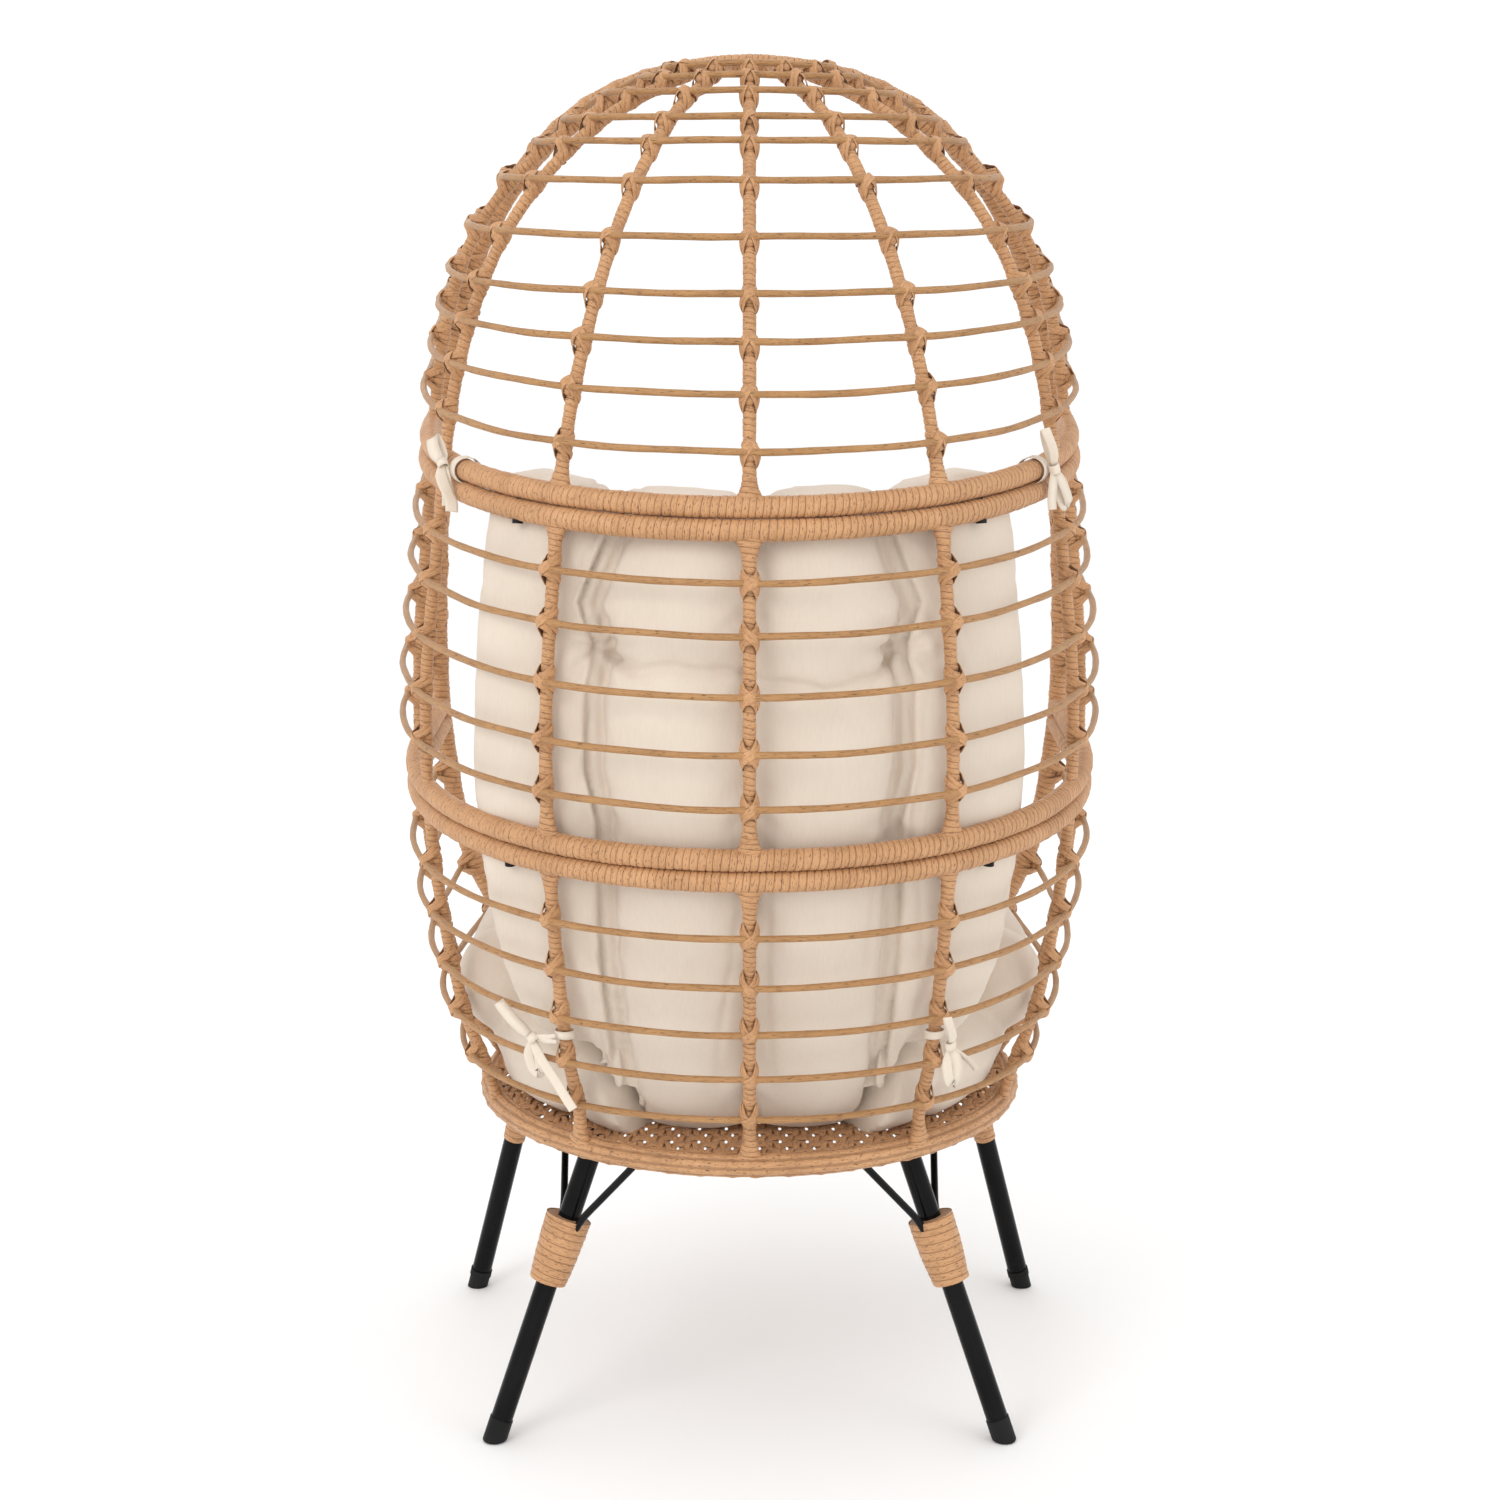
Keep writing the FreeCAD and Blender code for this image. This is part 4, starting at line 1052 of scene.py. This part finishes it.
def pucker(obj):
    """Small folds that run into the seams and fan out from the tufted corners."""
    local = (coords(obj) - CENTRE) / MM
    normals = normals_of(obj)
    gap, seam = seam_distance(local)
    z = local[:, 2]
    beat = np.sin(z / 61.0 + seam) * np.sin(z / 23.0 + 2.0 * seam)
    folds = np.sin((z + 0.9 * gap) / 8.2 + 1.8 * np.sin(z / 29.0) + seam)
    folds *= 0.25 + 0.75 * np.clip(beat, 0, 1)
    depth = 2.8 * folds * bump(gap - 13.0, 17.0)
    depth += np.where(seam == 1, 5.0, 11.0) * (0.75 + 0.25 * np.sin(z / 33.0 + 2.0 * seam)) * bump(gap, 3.6)
    along = np.abs(gap - 21.0 - 7.0 * np.sin(z / 70.0 + 2.0 * seam))
    depth += 2.4 * bump(along, 4.6) * np.clip(np.sin(z / 88.0 + 1.3 * seam) + 0.3, 0, 1)
    for x in (-TUFT_X, TUFT_X):
        across, up = local[:, 0] - x, z - TUFT_Z
        reach = np.hypot(across, up)
        fan = np.sin(7.0 * np.arctan2(up, across) + reach / 19.0)
        depth += 2.3 * fan * bump(reach - 26.0, 22.0)
    inner = np.clip((150.0 - np.abs(local[:, 0])) / 20.0, 0, 1)
    depth += 3.0 * inner * bump(z - tuft_line(local[:, 0]), 3.6)
    slack = np.sin(local[:, 0] / 47.0 + np.sin(z / 83.0)) * np.sin(z / 71.0 + local[:, 0] / 120.0)
    depth += 1.2 * slack
    set_coords(obj, dent(local, normals, depth) * MM + CENTRE)


def smooth_object(obj):
    smoothing = obj.modifiers.new("smooth", "SMOOTH")
    smoothing.factor = 0.5
    smoothing.iterations = 3
    divide = obj.modifiers.new("divide", "SUBSURF")
    divide.levels = divide.render_levels = 1
    bake_modifiers(obj)


def finish_soft(obj, material, node):
    obj.data.materials.clear()
    obj.data.materials.append(material)
    obj.data.polygons.foreach_set("use_smooth", [True] * len(obj.data.polygons))
    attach(obj, "frame")
    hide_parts(node)


def seat_cushion():
    obj = soft_copy("seat_cushion", "seat_cushion_cover", 0.006)
    local = (coords(obj) - CENTRE) / MM
    normals = normals_of(obj)
    turn = np.arctan2(local[:, 0], local[:, 1])
    reach = np.hypot(local[:, 0], local[:, 1])
    spokes = np.abs((turn / (math.pi / 4) + 0.5) % 1.0 - 0.5) * math.pi / 4 * np.maximum(reach, 1.0)
    outer = np.clip((reach - 120.0) / 60.0, 0, 1)
    local = dent(local, normals, outer * (5.0 * bump(spokes, 9.0) + 3.0 * bump(spokes, 26.0)))
    set_coords(obj, local * MM + CENTRE)
    inflate(obj, 0.9 * outer * bump(spokes, 7.0), 3.0, 12, 0.012)
    smooth_object(obj)
    local = (coords(obj) - CENTRE) / MM
    wave = np.sin(local[:, 2] / 9.0 + local[:, 0] / 31.0) * np.sin(local[:, 0] / 43.0 + local[:, 1] / 57.0)
    set_coords(obj, dent(local, normals_of(obj), 1.6 * wave) * MM + CENTRE)
    finish_soft(obj, CUSHION, "seat_cushion")


back_cushion()
seat_cushion()

# ------------------------------------------------------------------ ribbon ties
RIBBON_W = 13.0
RIBBON_T = 1.1


def tape(build, points, broad, width=RIBBON_W, pinch=(True, True)):
    """Length of ribbon through a few points, its width along broad, gathered where it enters a knot."""
    route = catmull(points, 8)
    length = np.concatenate([[0], np.cumsum(np.linalg.norm(np.diff(route, axis=0), axis=1))])
    widths = np.full(len(route), float(width))
    for near, gathered in zip((length, length[-1] - length), pinch):
        if gathered:
            widths *= 0.5 + 0.5 * np.clip(near / 14.0, 0, 1)
    run = np.gradient(route, axis=0)
    normals = np.cross(np.asarray(broad, float)[None, :], run)
    strip(build, route, normals, widths, RIBBON_T, seed=len(points), crown=0.2)


def hoop(radius_a, radius_b, axis_a, axis_b, centre, skew=(0, 0, 0)):
    """Closed loop of points round a tube or round the middle of a bow."""
    turn = np.linspace(0, 2 * math.pi, 13)
    centre, axis_a, axis_b, skew = (np.array(v, float) for v in (centre, axis_a, axis_b, skew))
    return [centre + axis_a * radius_a * math.cos(a) + axis_b * radius_b * math.sin(a) + skew * math.sin(a)
            for a in turn]


# Every tie is laid out round its place on the tube, as millimetres (sideways, up, out from the shell).
SIDE, UP, OUT = (1.0, 0.0, 0.0), (0.0, 1.0, 0.0), (0.0, 0.0, 1.0)


def band_round(radius, axis_a, centre=(0, 0, 0), skew=(0, 0, 0)):
    return hoop(radius, radius, axis_a, OUT, centre, skew)


def upper_right_tie(lay):
    lay(band_round(FRAME_R + 3.0, UP, skew=(5, 0, 0)), SIDE, 12.0, (False, False))
    lay(hoop(6.0, 5.0, (0.6, -0.8, 0), OUT, (13, 2, 21)), (0.8, 0.6, 0), 9.0, (False, False))
    lay([(12, 2, 21), (24, 13, 27), (38, 23, 25), (42, 25, 21), (36, 19, 18), (24, 9, 18), (13, 2, 20)],
        (0.4, -0.6, 0.7))
    lay([(13, 2, 22), (4, -9, 25), (-8, -21, 23), (-19, -31, 21), (-27, -40, 23)], (0.7, 0.6, 0.4),
        pinch=(True, False))
    lay([(12, 1, 19), (5, -12, 20), (-1, -23, 18.5), (-12, -36, 21)], (0.8, 0.3, 0.5), pinch=(True, False))


def upper_left_tie(lay):
    lay(band_round(FRAME_R + 3.0, UP, skew=(4, 0, 0)), SIDE, 12.0, (False, False))
    lay(hoop(6.0, 5.0, (0.9, 0.3, 0), OUT, (8, -1, 21)), (-0.3, 0.9, 0), 10.0, (False, False))
    lay([(8, 0, 21), (-3, 18, 27), (-12, 36, 27), (-11, 43, 24), (-3, 32, 20), (8, 4, 19)],
        (0.6, 0.2, 0.8), 10.0)
    lay([(8, -2, 22), (13, -18, 26), (24, -36, 25), (29, -42, 22), (24, -42, 19), (14, -20, 18), (8, -4, 19)],
        (0.8, 0.4, 0.5), 11.0)
    lay([(7, -2, 20), (2, -16, 20), (-3, -30, 19), (-5, -42, 19)], (0.8, 0.1, 0.6), 10.0, (True, False))


def lower_right_tie(lay):
    lay(band_round(RIB_R + 3.0, SIDE, skew=(0, 3, 0)), UP, 9.0, (False, False))
    for start, lift in ((4, 1), (-4, -1)):
        lay([(2, start, 12.5), (13, start / 2, 17), (27, lift, 19)], (0.1, 1.0, 0.2), 8.0)
    lay(hoop(5.5, 5.0, (0.7, -0.7, 0), OUT, (27, 0, 20)), (0.7, 0.7, 0), 9.0, (False, False))
    lay([(27, 1, 21), (40, 16, 26), (54, 32, 27), (60, 38, 25), (54, 26, 22), (40, 9, 19), (28, 1, 19)],
        (0.5, -0.4, 0.8), 11.0)
    lay([(27, -1, 21), (31, -18, 26), (27, -34, 27), (21, -38, 25), (21, -24, 22), (26, -3, 19)],
        (0.9, 0.2, 0.4), 11.0)
    lay([(27, -1, 22), (15, -20, 26), (0, -42, 27), (-14, -64, 28), (-19, -72, 28)],
        (0.8, 0.5, 0.3), 10.0, (True, False))


def lower_left_tie(lay):
    lay(band_round(RIB_R + 3.0, SIDE, skew=(0, 3, 0)), UP, 9.0, (False, False))
    lay(hoop(6.0, 4.5, (0.9, 0.3, 0), OUT, (8, -5, 19)), (-0.2, 1.0, 0), 9.0, (False, False))
    lay([(8, -4, 20), (2, 12, 26), (-8, 29, 29), (-11, 36, 28), (-6, 28, 24), (3, 12, 21), (8, -2, 18)],
        (0.8, 0.2, 0.5), 9.0)
    lay([(8, -6, 20), (15, -24, 27), (15, -42, 29), (9, -46, 28), (5, -28, 23), (8, -8, 19)],
        (0.9, 0.1, 0.4), 11.0)
    lay([(8, -6, 21), (20, -16, 25), (34, -28, 26), (45, -40, 25)], (0.3, 0.6, 0.7), 8.0, (True, False))


def place_tie(name, layout, height, angle, hand, held_by, length):
    """Lays a tie out on the shell at a height and plan angle. length, the ribbon's in metres, is not used."""
    t = station_at(height)
    place = shell_point(t, angle)
    out = unit(shell_point(t, angle, 10.0) - place)
    side = unit(shell_point(t, angle + 3) - shell_point(t, angle - 3))
    up = np.cross(out, side)
    if up[2] < 0:
        up = -up
    axes = np.array((side, up, out))
    build = Build()
    half = np.array((hand, 1, 1))

    def lay(points, broad, width=RIBBON_W, pinch=(True, True)):
        points = [(place + np.asarray(p, float) @ axes) * half for p in points]
        tape(build, points, (np.asarray(broad, float) @ axes) * half, width, pinch)

    layout(lay)
    obj = build.make(name + "_ribbon", RIBBON, replaces=[name])


UPPER_TIE = (dome_ring_z, 54.0)
LOWER_TIE_Z = 475.0
lower_tie_angle = rib_angles(station_at(LOWER_TIE_Z))[1]
place_tie("upper_right_tie", upper_right_tie, *UPPER_TIE, 1, "dome_ring_wrap", 0.32)
place_tie("upper_left_tie", upper_left_tie, *UPPER_TIE, -1, "dome_ring_wrap", 0.34)
place_tie("lower_right_tie", lower_right_tie, LOWER_TIE_Z, lower_tie_angle, 1, "bowl_ribs_inner_wrap", 0.38)
place_tie("lower_left_tie", lower_left_tie, LOWER_TIE_Z, lower_tie_angle, -1, "bowl_ribs_inner_wrap", 0.33)

# ------------------------------------------------------------------ stage, light and camera
FLOOR_R = 18.0
FLOOR_Z = -0.0005
turn = np.arange(96) / 96 * 2 * math.pi
floor_mesh = bpy.data.meshes.new("floor")
floor_mesh.from_pydata([(FLOOR_R * math.cos(a), FLOOR_R * math.sin(a), FLOOR_Z) for a in turn], [],
                       [tuple(range(len(turn)))])
floor = bpy.data.objects.new("floor", floor_mesh)
bpy.context.scene.collection.objects.link(floor)
floor_material, _, floor_shader = node_material("pale_floor")
floor_shader.inputs["Base Color"].default_value = (0.95, 0.95, 0.95, 1)
floor_shader.inputs["Roughness"].default_value = 0.9
floor_mesh.materials.append(floor_material)

world = bpy.data.worlds.new("studio")
world.use_nodes = True
world.node_tree.nodes["Background"].inputs["Color"].default_value = (1.0, 1.0, 1.0, 1)
world.node_tree.nodes["Background"].inputs["Strength"].default_value = 1.06
bpy.context.scene.world = world


def soft_light(name, place, target, size, power):
    light = bpy.data.lights.new(name, "AREA")
    light.shape = "RECTANGLE"
    light.size, light.size_y = size
    light.energy = power
    obj = bpy.data.objects.new(name, light)
    obj.location = place
    obj.rotation_euler = (Vector(target) - Vector(place)).to_track_quat("-Z", "Y").to_euler()
    bpy.context.scene.collection.objects.link(obj)


soft_light("key", (1.9, 2.6, 2.7), (0, 0, 0.8), (1.6, 1.6), 34)
soft_light("fill", (-2.6, 1.8, 1.9), (0, 0, 0.8), (1.8, 1.8), 12)
soft_light("front", (0.4, -3.2, 2.4), (0, 0, 0.8), (2.2, 1.6), 12)

camera_data = bpy.data.cameras.new("camera")
camera_data.lens = 61.1
camera_data.sensor_width = 36
camera = bpy.data.objects.new("camera", camera_data)
camera.location = (0, 2.82 + BASE.y, 1.291)
camera.rotation_euler = (math.radians(90 - 11.42), 0, math.radians(180))
bpy.context.scene.collection.objects.link(camera)
bpy.context.scene.camera = camera
bpy.context.scene.view_settings.view_transform = "Standard"
